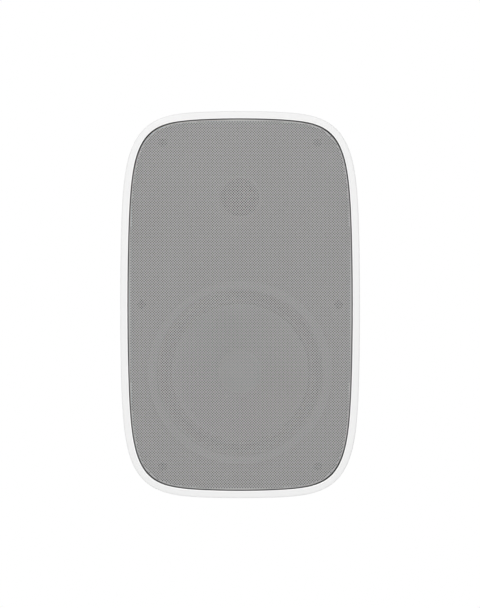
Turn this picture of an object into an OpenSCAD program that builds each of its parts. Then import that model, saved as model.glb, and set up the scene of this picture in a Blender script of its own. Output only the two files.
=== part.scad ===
// Wall speaker: a two-way cabinet with a perforated front, on a bracket that pans and tilts.
// Each piece is drawn in the bench frame: x to the right, y up, z out from the wall.
// placed() then stands it up, so that +Z is up, the front faces -Y and the wall is y = 0.

/* [Cabinet] */
// Width across the front rim
cab_w = 192.7; // [188:0.1:215]
// Height across the front rim
cab_h = 311; // [305:0.5:340]
// Depth from the flat back to the front rim
cab_d = 150; // [146:1:180]
// Width of the flat on the back
back_w = 110; // [104:1:120]
// Height of the flat on the back
back_h = 200; // [196:1:212]
// Wall of the cabinet
wall = 3.4; // [2.5:0.1:4.5]
// Width of the front rim round the grille
rim_w = 5.8; // [4.5:0.1:6.5]
// Rounding of the front rim's outer edge
rim_round = 1.2; // [1:0.1:3]
// Width of the ledge that carries the baffle
ledge_w = 8; // [7:0.5:10]
// Thickness of the ledge
ledge_t = 3; // [2:0.5:5]
// Squareness of the cabinet's outline along its width and its height
cab_power = [5.32, 6.35]; // [2:0.01:9]
// How far the cabinet's sides bow out, as shares of its half width and half height
cab_bow = [0.044, 0.0285]; // [0:0.001:0.1]
// Squareness of the grille's outline along its width and its height
face_power = [6.75, 6.86]; // [2:0.01:9]
// How far the grille's sides bow out, as shares of its half width and half height
face_bow = [0.053, 0.0366]; // [0:0.001:0.1]

/* [Baffle and grille] */
// Thickness of the gasket under the baffle
gasket_t = 1; // [0.5:0.1:2]
// Thickness of the baffle's edge, where it sits on the ledge
baffle_t = 4; // [3:0.5:6]
// Height of the baffle's raised face above its edge
face_h = 5; // [4.5:0.5:8]
// Width of the groove between the rim and the baffle's raised face
groove_w = 2.6; // [2.3:0.1:4]
// Air between the baffle's face and the grille
air_gap = 6.4; // [5:0.2:10]
// How far the grille sits behind the rim
grille_set = 1; // [0:0.1:3]
// Thickness of the grille's sheet
grille_t = 0.6; // [0.5:0.1:1.2]
// Gap between the grille and the rim
grille_gap = 0.7; // [0.4:0.1:1]
// Rounding of the grille's folded edge
grille_round = 1; // [0.5:0.1:2]
// Across a perforation, drawn coarser than the real 1.1 mm
perf_d = 12; // [4:0.5:14]
// Nearest spacing of the perforations, drawn coarser than the real 1.5 mm
perf_pitch = 20.5; // [19:0.5:40]
// Diameter of the baffle's screws
baffle_screw_d = 4; // [3:0.1:5]
// Length of the baffle's screws
baffle_screw_l = 20; // [14:1:24]
// Distances of the baffle's four corner screws from the sides and the ends of the grille's opening
corner_inset = [28, 19]; // [16:0.5:32]
// Distance of the two screws beside the middle from the sides of the grille's opening
side_inset = 11; // [10:0.5:14]

/* [Woofer] */
// Height of the woofer's centre above the cabinet's bottom
woofer_up = 101; // [98:0.5:104]
// Diameter of the woofer's frame
frame_d = 165; // [150:1:166]
// Thickness of the frame's flange
frame_t = 2.5; // [2:0.1:3]
// Wall of the frame's basket
basket_t = 1.6; // [1:0.1:2.5]
// Depth of the basket from its flange to the shelf that carries the spider
basket_depth = 35; // [33:0.5:38]
// Diameter of the basket where it meets that shelf
shelf_d = 104; // [100:1:110]
// Diameter of the well below the shelf
well_d = 87; // [80:1:90]
// Depth of the well below the shelf
well_depth = 19.6; // [18:0.2:22]
// Diameter of the cone
cone_d = 116; // [110:1:118]
// Thickness of the cone
cone_t = 0.8; // [0.5:0.1:1.2]
// Depth of the cone from its edge to its neck
cone_depth = 25; // [22:1:28]
// Width of the surround's roll
roll_w = 8; // [6:0.5:8]
// Thickness of the surround
roll_t = 0.9; // [0.6:0.1:1.2]
// Diameter of the dust cap
cap_d = 35; // [34:1:44]
// Height of the dust cap
cap_h = 8; // [5:0.5:10]
// Outer diameter of the voice coil's former
coil_d = 32; // [28:1:33]
// Diameter of the woofer's magnet
magnet_d = 100; // [92:1:104]
// Thickness of the woofer's magnet
magnet_t = 18; // [12:1:20]
// Thickness of the steel plates on the woofer's magnet
plate_t = 6; // [5:0.5:8]

/* [Tweeter] */
// Distance of the tweeter's centre from the cabinet's top
tweeter_down = 68.8; // [64:0.2:74]
// Diameter of the opening in front of the tweeter
mouth_d = 33.4; // [32:0.1:36]
// Diameter of the tweeter's dome
dome_d = 25.2; // [23:0.1:25.6]
// Height of the tweeter's dome
dome_h = 5; // [3:0.1:7]
// Diameter of the tweeter's mounting plate
tweeter_d = 64; // [63:1:72]
// Diameter of the tweeter's magnet
tweeter_magnet_d = 50; // [44:1:50]
// Thickness of the tweeter's magnet
tweeter_magnet_t = 10; // [6:1:14]

/* [Crossover] */
// Width, height and thickness of the circuit board
board = [88, 50, 1.6]; // [1:0.1:100]
// Distance of the board's centre from the top of the back's flat
board_down = 34; // [32:0.5:35]
// Height of the board's standoffs
standoff_h = 8; // [5:1:12]
// Diameter of the larger inductor
inductor_d = 32; // [26:1:32]

/* [Terminals] */
// Height of the terminals' centre above the bottom of the back's flat
cup_up = 30; // [28:0.5:32]
// Width and height of the recess that holds the terminals
cup = [52, 34]; // [30:1:56]
// Depth of the recess
cup_d = 21; // [19:1:26]
// Wall of the terminal cup
cup_t = 2; // [1.5:0.1:2.5]
// Distance between the two binding posts
post_gap = 19; // [18:0.1:22]
// Diameter of a binding post
post_d = 6; // [5.6:0.1:7]
// Diameter of a post's turning cap
knob_d = 11; // [10:0.1:12]
// Diameter of the socket for a 4 mm plug
socket_d = 4; // [3.8:0.1:4.2]

/* [Bracket] */
// Width, height and thickness of the wall plate
wall_plate_size = [70, 110, 5]; // [4:1:140]
// Distances between the wall plate's screw holes
wall_hole_gap = [44, 84]; // [36:1:100]
// Diameter of the wall plate's screw holes
wall_hole_d = 5.5; // [4:0.1:7]
// Distance of the pan bolt from the wall
pan_z = 22; // [20:0.5:26]
// Distance from the pan bolt to the tilt bolt
knuckle_l = 20; // [19:0.5:26]
// Diameter of the pan bolt
pan_bolt_d = 8; // [6:0.5:10]
// Diameter of the tilt bolt
tilt_bolt_d = 6; // [5:0.5:8]
// Diameter of the rounded lugs and barrels
lug_d = 18; // [17:0.5:20]
// Width, height and thickness of the plate on the speaker's back
speaker_plate_size = [60, 80, 4]; // [3:1:100]
// Distances between the speaker plate's screws
speaker_hole_gap = [40, 60]; // [36:1:64]
// Diameter of the speaker plate's screws
speaker_screw_d = 5; // [4:0.5:6]

/* [Fits] */
// Radial clearance of screws, bolts and turning caps in their holes
running = 0.05; // [0.02:0.01:0.09]
// Clearance between faces that must not touch
clear = 0.3; // [0.3:0.05:0.5]
// Clearance between the baffle and the cabinet
baffle_fit = 0.4; // [0.3:0.05:0.6]

/* [Hidden] */

// Places along z, from the wall to the front
tilt_z = pan_z + knuckle_l;
plate_z = tilt_z + lug_d / 2;
back_z = plate_z + speaker_plate_size.z;
front_z = back_z + cab_d;
grille_z = front_z - grille_set;
face_z = grille_z - grille_t - air_gap;
edge_z = face_z - face_h;
baffle_z = edge_z - baffle_t;
ledge_z = baffle_z - gasket_t;
inner_back_z = back_z + wall;

// Outlines, as half width, half height, powers and bows
cab_half = [cab_w, cab_h] / 2;
back_half = [back_w, back_h] / 2;
face_half = cab_half - [rim_w, rim_w];

// Heights of the drivers, the board and the terminals
woofer_y = woofer_up - cab_half.y;
tweeter_y = cab_half.y - tweeter_down;
board_y = back_half.y - board_down;
cup_y = cup_up - back_half.y;

// Steps of each quarter of an outline, and how they gather at its corner
quarter_steps = 18;
corner_gather = 2;
// Steps of the cabinet's rounded back, and the powers of its curve
back_steps = 9;
back_power = [2.4, 2];
// Overlap that keeps a cut or a join clean
lap = 0.01;
// Segments of a full turn
$fn = 96;

// Stands the bench frame up in the part's frame
module placed() {
    rotate([90, 0, 0])
        children();
}

// Point of an outline's first quarter, at t from 0 at the right to 90 at the top
function quarter_point(half, power, bow, t) =
    let (
        u = pow(cos(t), 2 / power.x),
        v = pow(sin(t), 2 / power.y)
    )
    [half.x * u * (1 - bow.x * v * v), half.y * v * (1 - bow.y * u * u)];

// Angle of step s from 0 to 1, gathered towards the middle, where the corner is
function gathered(s) =
    90 * pow(s, corner_gather) / (pow(s, corner_gather) + pow(1 - s, corner_gather));

// Closed outline of four mirrored quarters, anticlockwise
function outline(half, power, bow) = [
    for (i = [0 : 4 * quarter_steps - 1])
        let (
            quarter = floor(i / quarter_steps),
            step = (i % quarter_steps) / quarter_steps,
            s = quarter % 2 == 0 ? step : 1 - step,
            p = quarter_point(half, power, bow, gathered(s))
        )
        [(quarter == 0 || quarter == 3 ? 1 : -1) * p.x, (quarter < 2 ? 1 : -1) * p.y]
];

function cab_outline(half) = outline(half, cab_power, cab_bow);
function face_outline(inset) = outline(face_half - [inset, inset], face_power, face_bow);

// Solid through a stack of rings, each [z, outline], from the lowest to the highest
module loft(rings) {
    n = len(rings[0][1]);
    top = (len(rings) - 1) * n;
    points = [for (ring = rings) for (p = ring[1]) [p.x, p.y, ring[0]]];
    sides = [
        for (k = [0 : len(rings) - 2], i = [0 : n - 1])
            let (
                a = k * n + i,
                b = k * n + (i + 1) % n
            )
            each [[a, a + n, b + n], [a, b + n, b]]
    ];
    polyhedron(
        points = points,
        faces = concat([[for (i = [0 : n - 1]) i]], sides, [[for (i = [0 : n - 1]) top + n - 1 - i]])
    );
}

// Straight prism of the grille's outline, inset, from z = low to z = high
module face_prism(inset, low, high) {
    translate([0, 0, low])
        linear_extrude(high - low)
            polygon(face_outline(inset));
}

// Flat shape of a rectangle with round corners
module round_rect(size, r) {
    square([size.x, size.y - 2 * r], center = true);
    square([size.x - 2 * r, size.y], center = true);
    for (x = [-1, 1], y = [-1, 1])
        translate([x * (size.x / 2 - r), y * (size.y / 2 - r)])
            circle(r);
}

// Slab of that shape from z = low to z = high
module slab(size, r, low, high) {
    translate([0, 0, low])
        linear_extrude(high - low)
            round_rect(size, r);
}

// Cylinder from z = low to z = high
module post(r, low, high) {
    translate([0, 0, low])
        cylinder(r = r, h = high - low);
}

// Ring from z = low to z = high
module ring(inner, outer, low, high) {
    difference() {
        post(outer, low, high);
        post(inner, low - 1, high + 1);
    }
}

// Copies at the four corners of a rectangle with the given spacings
module at_corners(gap) {
    for (x = [-1, 1], y = [-1, 1])
        translate([x * gap.x / 2, y * gap.y / 2, 0])
            children();
}

// Screw whose head sits on z = 0 and points up; its shank runs down
module screw(d, length, head_d, head_h) {
    slot = d / 5;
    difference() {
        post(head_d / 2, 0, head_h);
        for (turn = [0, 90])
            rotate([0, 0, turn])
                translate([0, 0, head_h])
                    cube([head_d * 0.55, slot, head_h], center = true);
    }
    post(d / 2, -length, lap);
}

// Point of a smooth curve through four control points, at t from the second to the third
function curve_point(a, b, c, d, t) =
    0.5 * (2 * b + (c - a) * t + (2 * a - 5 * b + 4 * c - d) * t * t
        + (3 * b - a - 3 * c + d) * t * t * t);

// Smooth route through hand-placed points, with the given steps between two of them
function smooth_route(points, steps) =
    let (n = len(points))
    concat(
        [
            for (i = [0 : n - 2], k = [0 : steps - 1])
                curve_point(points[max(i - 1, 0)], points[i], points[i + 1],
                    points[min(i + 2, n - 1)], k / steps)
        ],
        [points[n - 1]]
    );

function unit(v) = v / norm(v);

// Tube of radius r along a route, with flat ends across its first and last stretch
module tube(route, r) {
    sides = 8;
    n = len(route);
    rings = [
        for (i = [0 : n - 1])
            let (
                along = unit(route[min(i + 1, n - 1)] - route[max(i - 1, 0)]),
                side = unit(cross(along, [1, 0, 0])),
                across = cross(along, side)
            )
            [for (k = [0 : sides - 1])
                route[i] + r * (cos(360 * k / sides) * side + sin(360 * k / sides) * across)]
    ];
    points = [for (loop = rings) each loop];
    skin = [
        for (i = [0 : n - 2], k = [0 : sides - 1])
            let (
                a = i * sides + k,
                b = i * sides + (k + 1) % sides
            )
            each [[a, a + sides, b + sides], [a, b + sides, b]]
    ];
    start = [for (k = [0 : sides - 1]) k];
    end = [for (k = [0 : sides - 1]) n * sides - 1 - k];
    polyhedron(points = points, faces = concat([start], skin, [end]));
}

// Cabinet

// Share of the front's size that is left at angle t of the back's curve, and the depth there
function back_keep(t) = pow(cos(t), 2 / back_power.y);
function back_depth(t) = pow(sin(t), 2 / back_power.x);
function back_angle(depth) = asin(pow(depth, back_power.x / 2));

// Rings of the cabinet's curved shell, drawn in by inset, from the back to angle t0 in front
function shell_rings(inset, t0) = [
    for (i = [0 : back_steps])
        let (
            t = 90 + (t0 - 90) * i / back_steps,
            half = back_half + (cab_half - back_half) * back_keep(t) - [inset, inset]
        )
        [front_z - rim_round - (cab_d - rim_round - inset) * back_depth(t), cab_outline(half)]
];

// Rings of the rim's rounded outer edge, from the side to the face
function rim_rings() = [
    for (i = [1 : 3])
        let (
            t = 30 * i,
            inset = rim_round * (1 - cos(t))
        )
        [front_z - rim_round * (1 - sin(t)), cab_outline(cab_half - [inset, inset])]
];

// The cavity starts where the slope under the ledge ends
slope_z = ledge_z - ledge_t;
cavity_z = slope_z - ledge_w;
cavity_angle = back_angle((front_z - rim_round - cavity_z) / (cab_d - rim_round - wall));

module body_form() {
    loft(concat(shell_rings(0, 0), rim_rings()));
}

module cavity(inset) {
    loft(concat(shell_rings(wall + inset, cavity_angle), [[slope_z, face_outline(ledge_w + inset)]]));
}

// Screw bosses under the baffle
boss_r = baffle_screw_d / 2 + 3;
boss_l = baffle_screw_l + 4;
corner_screw = face_half - corner_inset;
side_screw_x = face_half.x - side_inset;
module at_baffle_screws() {
    at_corners(2 * corner_screw)
        children();
    for (x = [-1, 1])
        translate([x * side_screw_x, 0, 0])
            children();
}

// Bosses on the back for the speaker plate's inserts and the terminal cup's screws
insert_r = speaker_screw_d / 2 + 1.5;
insert_l = 10;
insert_boss_r = insert_r + 3.2;
cup_flange = cup + [16, 18];
cup_screw_gap = cup_flange - [9, 9];
cup_screw_d = 3;
cup_screw_l = 12;
cup_outer = cup + [2 * cup_t, 2 * cup_t];
cup_hole = cup_outer + [1, 1];
cup_round = 5;
// Screws of the circuit board
board_screw_gap = [board.x - 12, board.y - 12];
board_screw_d = 3;

module cabinet_bosses() {
    at_baffle_screws()
        post(boss_r, ledge_z - boss_l, ledge_z - lap);
    for (x = [-1, 1]) {
        for (y = [-1, 1])
            translate([x * corner_screw.x, y * corner_screw.y, ledge_z - boss_l / 2])
                rotate([0, 0, x * y * 45 + (x < 0 ? 180 : 0)])
                    translate([15, 0, 0])
                        cube([30, 3, boss_l - 2], center = true);
        translate([x * (side_screw_x + 10), 0, ledge_z - boss_l / 2])
            cube([20, 3, boss_l - 2], center = true);
    }
    at_corners(speaker_hole_gap)
        post(insert_boss_r, inner_back_z - wall / 2, back_z + insert_l + 5);
    translate([0, cup_y, 0])
        at_corners(cup_screw_gap)
            post(cup_screw_d / 2 + 2.5, inner_back_z - wall / 2, back_z + cup_screw_l + 1);
    translate([0, board_y, 0])
        at_corners(board_screw_gap)
            post(board_screw_d / 2 + 2, inner_back_z - wall / 2, inner_back_z + standoff_h);
}

module cabinet() {
    color("#f1f1ef")
    placed()
    difference() {
        intersection() {
            union() {
                difference() {
                    body_form();
                    cavity(0);
                    face_prism(ledge_w, slope_z - lap, ledge_z + lap);
                    face_prism(0, ledge_z, front_z + 1);
                }
                cabinet_bosses();
            }
            body_form();
        }
        at_baffle_screws()
            post(baffle_screw_d / 2 + running, ledge_z - boss_l + 2, ledge_z + 1);
        at_corners(speaker_hole_gap)
            post(insert_r + running, back_z - 1, back_z + insert_l + 1);
        translate([0, cup_y, 0]) {
            slab(cup_hole, cup_round + cup_t + 0.5, back_z - 1, inner_back_z + 1);
            at_corners(cup_screw_gap)
                post(cup_screw_d / 2 + running, back_z - 1, back_z + cup_screw_l - 1);
        }
        translate([0, board_y, 0])
            at_corners(board_screw_gap)
                post(board_screw_d / 2 + running, inner_back_z + 1, inner_back_z + standoff_h + 1);
    }
}

module cabinet_gasket() {
    color("#2b2b2b")
    placed()
    difference() {
        face_prism(baffle_fit, ledge_z, baffle_z);
        face_prism(ledge_w - 1, ledge_z - 1, baffle_z + 1);
        at_baffle_screws()
            post(boss_r + clear, ledge_z - 1, baffle_z + 1);
    }
}

// Baffle
frame_r = frame_d / 2;
recess_d = 4;
seat_z = face_z - recess_d;
basket_top_r = cone_d / 2 + roll_w + 6.5;
woofer_screw_d = 4;
woofer_screw_l = 14;
woofer_screw_r = (frame_r + basket_top_r + 1) / 2;
tweeter_screw_d = 3;
tweeter_screw_l = 7.8;
tweeter_screw_r = tweeter_d / 2 - 4;
head_seat_z = edge_z - 1;

module at_woofer() {
    translate([0, woofer_y, 0])
        children();
}

module at_tweeter() {
    translate([0, tweeter_y, 0])
        children();
}

module around(count, r, first) {
    for (i = [0 : count - 1])
        rotate([0, 0, first + i * 360 / count])
            translate([r, 0, 0])
                children();
}

module baffle() {
    color("#565758")
    placed()
    difference() {
        union() {
            face_prism(baffle_fit, baffle_z, edge_z);
            face_prism(groove_w, edge_z - lap, face_z);
            at_woofer()
                around(4, woofer_screw_r, 45)
                    post(woofer_screw_d / 2 + 2.5, baffle_z - 8, baffle_z + lap);
        }
        at_woofer() {
            post(frame_r + clear, seat_z, face_z + 1);
            post(basket_top_r + 1, baffle_z - 1, face_z);
            around(4, woofer_screw_r, 45)
                post(woofer_screw_d / 2 + running, baffle_z - 7, face_z);
        }
        at_tweeter() {
            post(mouth_d / 2, baffle_z - 1, face_z + 1);
            translate([0, 0, face_z - 1])
                cylinder(r1 = mouth_d / 2, r2 = mouth_d / 2 + 1.2, h = 1.2);
            around(4, tweeter_screw_r, 45)
                post(tweeter_screw_d / 2 + running, baffle_z - 1, baffle_z + 6);
        }
        at_baffle_screws() {
            post(baffle_screw_d / 2 + clear, baffle_z - 1, face_z);
            post(baffle_screw_d, head_seat_z, face_z + 1);
        }
    }
}

module baffle_screws() {
    color("#3a3a3a")
    placed()
    at_baffle_screws()
        translate([0, 0, head_seat_z])
            screw(baffle_screw_d, baffle_screw_l, baffle_screw_d * 1.8, baffle_screw_d * 0.6);
}

// Grille: a steel sheet folded back at its edge, with staggered perforations
skirt_z = edge_z + clear;
module grille_shell(inset, top) {
    loft([
        [skirt_z - (inset > grille_gap ? 1 : 0), face_outline(inset)],
        [top - grille_round, face_outline(inset)],
        [top - grille_round * 0.3, face_outline(inset + grille_round * 0.3)],
        [top, face_outline(inset + grille_round)]
    ]);
}

// Perforations lie on a square grid turned by 45 degrees, clear of the folded edge
row_gap = perf_pitch / sqrt(2);
perf_edge = perf_d / 2 + grille_gap + grille_t + grille_round + 1;
function inside_face(x, y) =
    let (half = face_half - [perf_edge, perf_edge])
    pow(abs(x) / (half.x * (1 - face_bow.x)), face_power.x)
        + pow(abs(y) / (half.y * (1 - face_bow.y)), face_power.y) < 1;

module grille() {
    rows = floor(face_half.y / row_gap);
    columns = floor(face_half.x / row_gap);
    color("#aeaeae")
    placed()
    difference() {
        grille_shell(grille_gap, grille_z);
        grille_shell(grille_gap + grille_t, grille_z - grille_t);
        for (j = [-rows : rows], i = [-columns : columns])
            if ((i + j) % 2 == 0 && inside_face(i * row_gap, j * row_gap))
                translate([i * row_gap, j * row_gap, grille_z - grille_t - 1])
                    cylinder(d = perf_d, h = grille_t + 2, $fn = 12);
    }
}

// Woofer, from its flange back to its magnet
frame_top_z = seat_z + frame_t;
cone_r = cone_d / 2;
roll_r = cone_r + roll_w;
neck_r = coil_d / 2;
shelf_r = shelf_d / 2;
shelf_z = seat_z - basket_depth;
well_r = well_d / 2;
floor_z = shelf_z - well_depth;
top_plate_z = floor_z - plate_t;
magnet_z = top_plate_z - magnet_t;
pole_z = magnet_z - plate_t;
former_t = 0.3;
dust_cap_t = 0.6;
winding_t = 0.7;
coil_air = 0.5;
gap_r = neck_r + winding_t + coil_air;
pole_r = neck_r - former_t - coil_air;
winding_h = 14;
coil_z = floor_z - (plate_t + winding_h) / 2;
neck_z = frame_top_z - cone_depth;
spider_z = shelf_z + 2;

module woofer_basket() {
    color("#58595b")
    placed()
    at_woofer()
    difference() {
        union() {
            rotate_extrude()
                polygon([
                    [frame_r, frame_top_z], [roll_r + 0.5, frame_top_z], [roll_r + 0.5, seat_z],
                    [basket_top_r - basket_t - 0.2, seat_z], [shelf_r - basket_t, shelf_z],
                    [well_r - basket_t, shelf_z], [well_r - basket_t, floor_z + basket_t],
                    [gap_r + 4, floor_z + basket_t], [gap_r + 4, floor_z], [well_r, floor_z],
                    [well_r, shelf_z - basket_t], [shelf_r - 0.6, shelf_z - basket_t],
                    [basket_top_r, seat_z], [frame_r, seat_z]
                ]);
            translate([-10, tag_low, tag_z])
                cube([20, 12, 2]);
        }
        around(6, shelf_r + 12, 0)
            translate([0, 0, seat_z - 18.5])
                cube([34, 42, 23], center = true);
        around(4, woofer_screw_r, 45)
            post(woofer_screw_d / 2 + running, seat_z - 1, frame_top_z + 1);
    }
}

// Tab on the basket's top rib, and the tag board behind it
tag_z = seat_z - 19;
tag_low = basket_top_r - 12.5;
tag_board_t = 1.6;
tag_t = 0.8;

module woofer_terminals() {
    color("#b8863b")
    placed()
    at_woofer() {
        translate([-9, tag_low + 2, tag_z - tag_board_t])
            cube([18, 10, tag_board_t]);
        for (x = [-1, 1])
            translate([x * 5 - 2.4, tag_low + 3, tag_z - tag_board_t - tag_t])
                cube([4.8, 14, tag_t + lap]);
    }
}

lip_z = frame_top_z + roll_t;

module woofer_trim_ring() {
    color("#77797c")
    placed()
    at_woofer()
    rotate_extrude()
        polygon([
            [roll_r + 0.8, lip_z], [roll_r + 5.3, lip_z], [roll_r + 5.3, frame_top_z],
            [roll_r + 8, frame_top_z], [roll_r + 8, lip_z + 1.2], [roll_r + 7.2, lip_z + 2],
            [roll_r + 1.6, lip_z + 2], [roll_r + 0.8, lip_z + 1.2]
        ]);
}

// Half roll between its two glued lips
module woofer_surround() {
    mid = cone_r + roll_w / 2;
    steps = 14;
    outer = (roll_w + roll_t) / 2;
    inner = (roll_w - roll_t) / 2;
    color("#3a3b3d")
    placed()
    at_woofer()
    rotate_extrude()
        polygon(concat(
            [[roll_r + 5, frame_top_z], [roll_r + 5, lip_z], [mid + outer, lip_z]],
            [for (i = [1 : steps - 1]) [mid, frame_top_z] + outer * [cos(180 * i / steps), sin(180 * i / steps)]],
            [[mid - outer, lip_z], [cone_r - 3, lip_z], [cone_r - 3, frame_top_z], [mid - inner, frame_top_z]],
            [for (i = [1 : steps - 1]) [mid, frame_top_z] + inner * [-cos(180 * i / steps), sin(180 * i / steps)]],
            [[mid + inner, frame_top_z]]
        ));
}

// Height of the cone's face at radius r
function cone_face(r) =
    neck_z + (cone_depth - cone_t / 2) * pow(max(0, (r - neck_r) / (cone_r - 3 - neck_r)), 1.15);

module woofer_cone() {
    steps = 10;
    cap_r = cap_d / 2;
    radii = concat([neck_r], [for (i = [0 : steps]) cap_r + (cone_r - 3 - cap_r) * i / steps]);
    color("#6b6d6f")
    placed()
    at_woofer()
    rotate_extrude()
        polygon(concat(
            [for (r = radii) [r, cone_face(r)]],
            [[cone_r - 3, frame_top_z], [cone_r, frame_top_z], [cone_r, frame_top_z - cone_t]],
            [for (i = [steps + 1 : -1 : 0]) [radii[i], cone_face(radii[i]) - cone_t * 1.3]]
        ));
}

// Domed skin that stands on z = 0
module dome_shell(base_r, h, skin) {
    steps = 12;
    ball_r = (base_r * base_r + h * h) / (2 * h);
    out_turn = asin(base_r / ball_r);
    in_turn = acos((ball_r - h) / (ball_r - skin));
    translate([0, 0, h - ball_r])
    rotate_extrude()
        polygon(concat(
            [for (i = [0 : steps]) ball_r * [sin(out_turn * i / steps), cos(out_turn * i / steps)]],
            [for (i = [steps : -1 : 0]) (ball_r - skin) * [sin(in_turn * i / steps), cos(in_turn * i / steps)]]
        ));
}

module woofer_dust_cap() {
    color("#949698")
    placed()
    at_woofer()
    translate([0, 0, cone_face(cap_d / 2) - lap])
        dome_shell(cap_d / 2, cap_h, dust_cap_t);
}

module voice_coil_former() {
    color("#c9a36a")
    placed()
    at_woofer()
    ring(neck_r - former_t, neck_r, coil_z, neck_z + cone_t);
}

module voice_coil_winding() {
    color("#b5652d")
    placed()
    at_woofer()
    ring(neck_r, neck_r + winding_t, coil_z, coil_z + winding_h);
}

// Corrugated disc from the former to the basket's shelf
module woofer_spider() {
    steps = 48;
    thick = 0.8;
    rise = 1.2;
    waves = 5;
    span = [neck_r, well_r];
    line = [
        for (i = [0 : steps])
            let (r = span.x + (span.y - span.x) * i / steps)
            [r, spider_z - rise * sin(360 * waves * i / steps)]
    ];
    lip_r = shelf_r - basket_t - clear;
    color("#c8a15a")
    placed()
    at_woofer()
    rotate_extrude()
        polygon(concat(
            [for (p = line) p + [0, thick]],
            [[well_r + 1, shelf_z + thick], [lip_r, shelf_z + thick], [lip_r, shelf_z], [well_r, shelf_z]],
            [for (i = [steps : -1 : 0]) line[i]]
        ));
}

module woofer_top_plate() {
    color("#9a9da0")
    placed()
    at_woofer()
    ring(gap_r, magnet_d / 2 - 4, top_plate_z, floor_z);
}

module woofer_magnet() {
    color("#3f3f42")
    placed()
    at_woofer()
    ring(gap_r + 9, magnet_d / 2, magnet_z, top_plate_z);
}

module woofer_pole_plate() {
    color("#9a9da0")
    placed()
    at_woofer()
    difference() {
        union() {
            post(magnet_d / 2 - 3, pole_z, magnet_z);
            post(pole_r, magnet_z - lap, floor_z);
        }
        post(pole_r / 3, pole_z - 1, floor_z + 1);
    }
}

module woofer_screws() {
    color("#3a3a3a")
    placed()
    at_woofer()
    around(4, woofer_screw_r, 45)
        translate([0, 0, frame_top_z])
            screw(woofer_screw_d, woofer_screw_l, woofer_screw_d * 1.6, woofer_screw_d * 0.6);
}

// Tweeter, from the plate behind the baffle back to its magnet
dome_r = dome_d / 2;
dome_t = 0.4;
ring_t = 2.8;
ring_z = baffle_z - ring_t;
land_z = baffle_z - 0.6;
tweeter_plate_t = 4;
tweeter_plate_z = ring_z - tweeter_plate_t;
tweeter_magnet_z = tweeter_plate_z - tweeter_magnet_t;
tweeter_pole_z = tweeter_magnet_z - tweeter_plate_t;
tweeter_coil_r = dome_r + 0.2;
tweeter_coil_t = 0.5;
tweeter_air = 0.4;
throat_r = dome_r + 3;
land_r = dome_r + 1.1;

module tweeter_mount_ring() {
    color("#2a2a2c")
    placed()
    at_tweeter()
    difference() {
        rotate_extrude()
            polygon([
                [land_r, ring_z], [tweeter_d / 2, ring_z], [tweeter_d / 2, baffle_z],
                [mouth_d / 2 - clear, baffle_z], [mouth_d / 2 - clear, baffle_z + 2.5],
                [throat_r, baffle_z + 1.5], [throat_r, land_z], [land_r, land_z]
            ]);
        around(4, tweeter_screw_r, 45)
            post(tweeter_screw_d / 2 + running, ring_z - 1, baffle_z + 1);
    }
}

module tweeter_dome() {
    color("#202022")
    placed()
    at_tweeter()
    translate([0, 0, land_z])
        dome_shell(dome_r, dome_h, dome_t);
}

module tweeter_surround() {
    mid = (dome_r + land_r) / 2 + 0.1;
    outer = (land_r - dome_r) / 2 + 0.1;
    skin = 0.3;
    steps = 10;
    color("#2c2c2e")
    placed()
    at_tweeter()
    rotate_extrude()
        polygon(concat(
            [[throat_r - 0.2, land_z], [throat_r - 0.2, land_z + skin]],
            [for (i = [1 : steps]) [mid, land_z] + outer * [cos(180 * i / steps), sin(180 * i / steps)]],
            [for (i = [0 : steps]) [mid, land_z] + (outer - skin) * [-cos(180 * i / steps), sin(180 * i / steps)]]
        ));
}

module tweeter_coil() {
    color("#b5652d")
    placed()
    at_tweeter()
    ring(tweeter_coil_r - tweeter_coil_t, tweeter_coil_r, tweeter_plate_z + 0.4, land_z - 0.05);
}

module tweeter_top_plate() {
    color("#9a9da0")
    placed()
    at_tweeter()
    ring(tweeter_coil_r + tweeter_air, tweeter_magnet_d / 2 - 2.5, tweeter_plate_z, ring_z);
}

module tweeter_magnet() {
    color("#3f3f42")
    placed()
    at_tweeter()
    ring(tweeter_coil_r + 4, tweeter_magnet_d / 2, tweeter_magnet_z, tweeter_plate_z);
}

module tweeter_pole_plate() {
    color("#9a9da0")
    placed()
    at_tweeter()
    union() {
        post(tweeter_magnet_d / 2 - 2.5, tweeter_pole_z, tweeter_magnet_z);
        post(tweeter_coil_r - tweeter_coil_t - tweeter_air, tweeter_magnet_z - lap, ring_z);
    }
}

module tweeter_terminals() {
    color("#b8863b")
    placed()
    at_tweeter() {
        translate([-9, 0.3 - tweeter_d / 2, ring_z - 1.6])
            cube([18, 5.4, 1.6]);
        for (x = [-1, 1])
            translate([x * 5.5 - 1.6, -5 - tweeter_d / 2, ring_z - 2.2])
                cube([3.2, 9, 0.6 + lap]);
    }
}

module tweeter_screws() {
    color("#3a3a3a")
    placed()
    at_tweeter()
    around(4, tweeter_screw_r, 45)
        translate([0, 0, ring_z])
            mirror([0, 0, 1])
                screw(tweeter_screw_d, tweeter_screw_l, tweeter_screw_d * 1.6, tweeter_screw_d * 0.6);
}

// Crossover on the inside of the back
board_z = inner_back_z + standoff_h;
board_top = board_z + board.z;

module at_board(x, y) {
    translate([x, board_y + y, board_top])
        children();
}

module crossover_board() {
    color("#2f5d3a")
    placed()
    translate([0, board_y, 0])
    difference() {
        slab(board, 2, board_z, board_top);
        at_corners(board_screw_gap)
            post(board_screw_d / 2 + running, board_z - 1, board_top + 1);
    }
}

module board_screws() {
    color("#8b8d90")
    placed()
    translate([0, board_y, 0])
    at_corners(board_screw_gap)
        translate([0, 0, board_top])
            screw(board_screw_d, board.z + standoff_h - 2, board_screw_d * 1.7, board_screw_d * 0.6);
}

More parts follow.
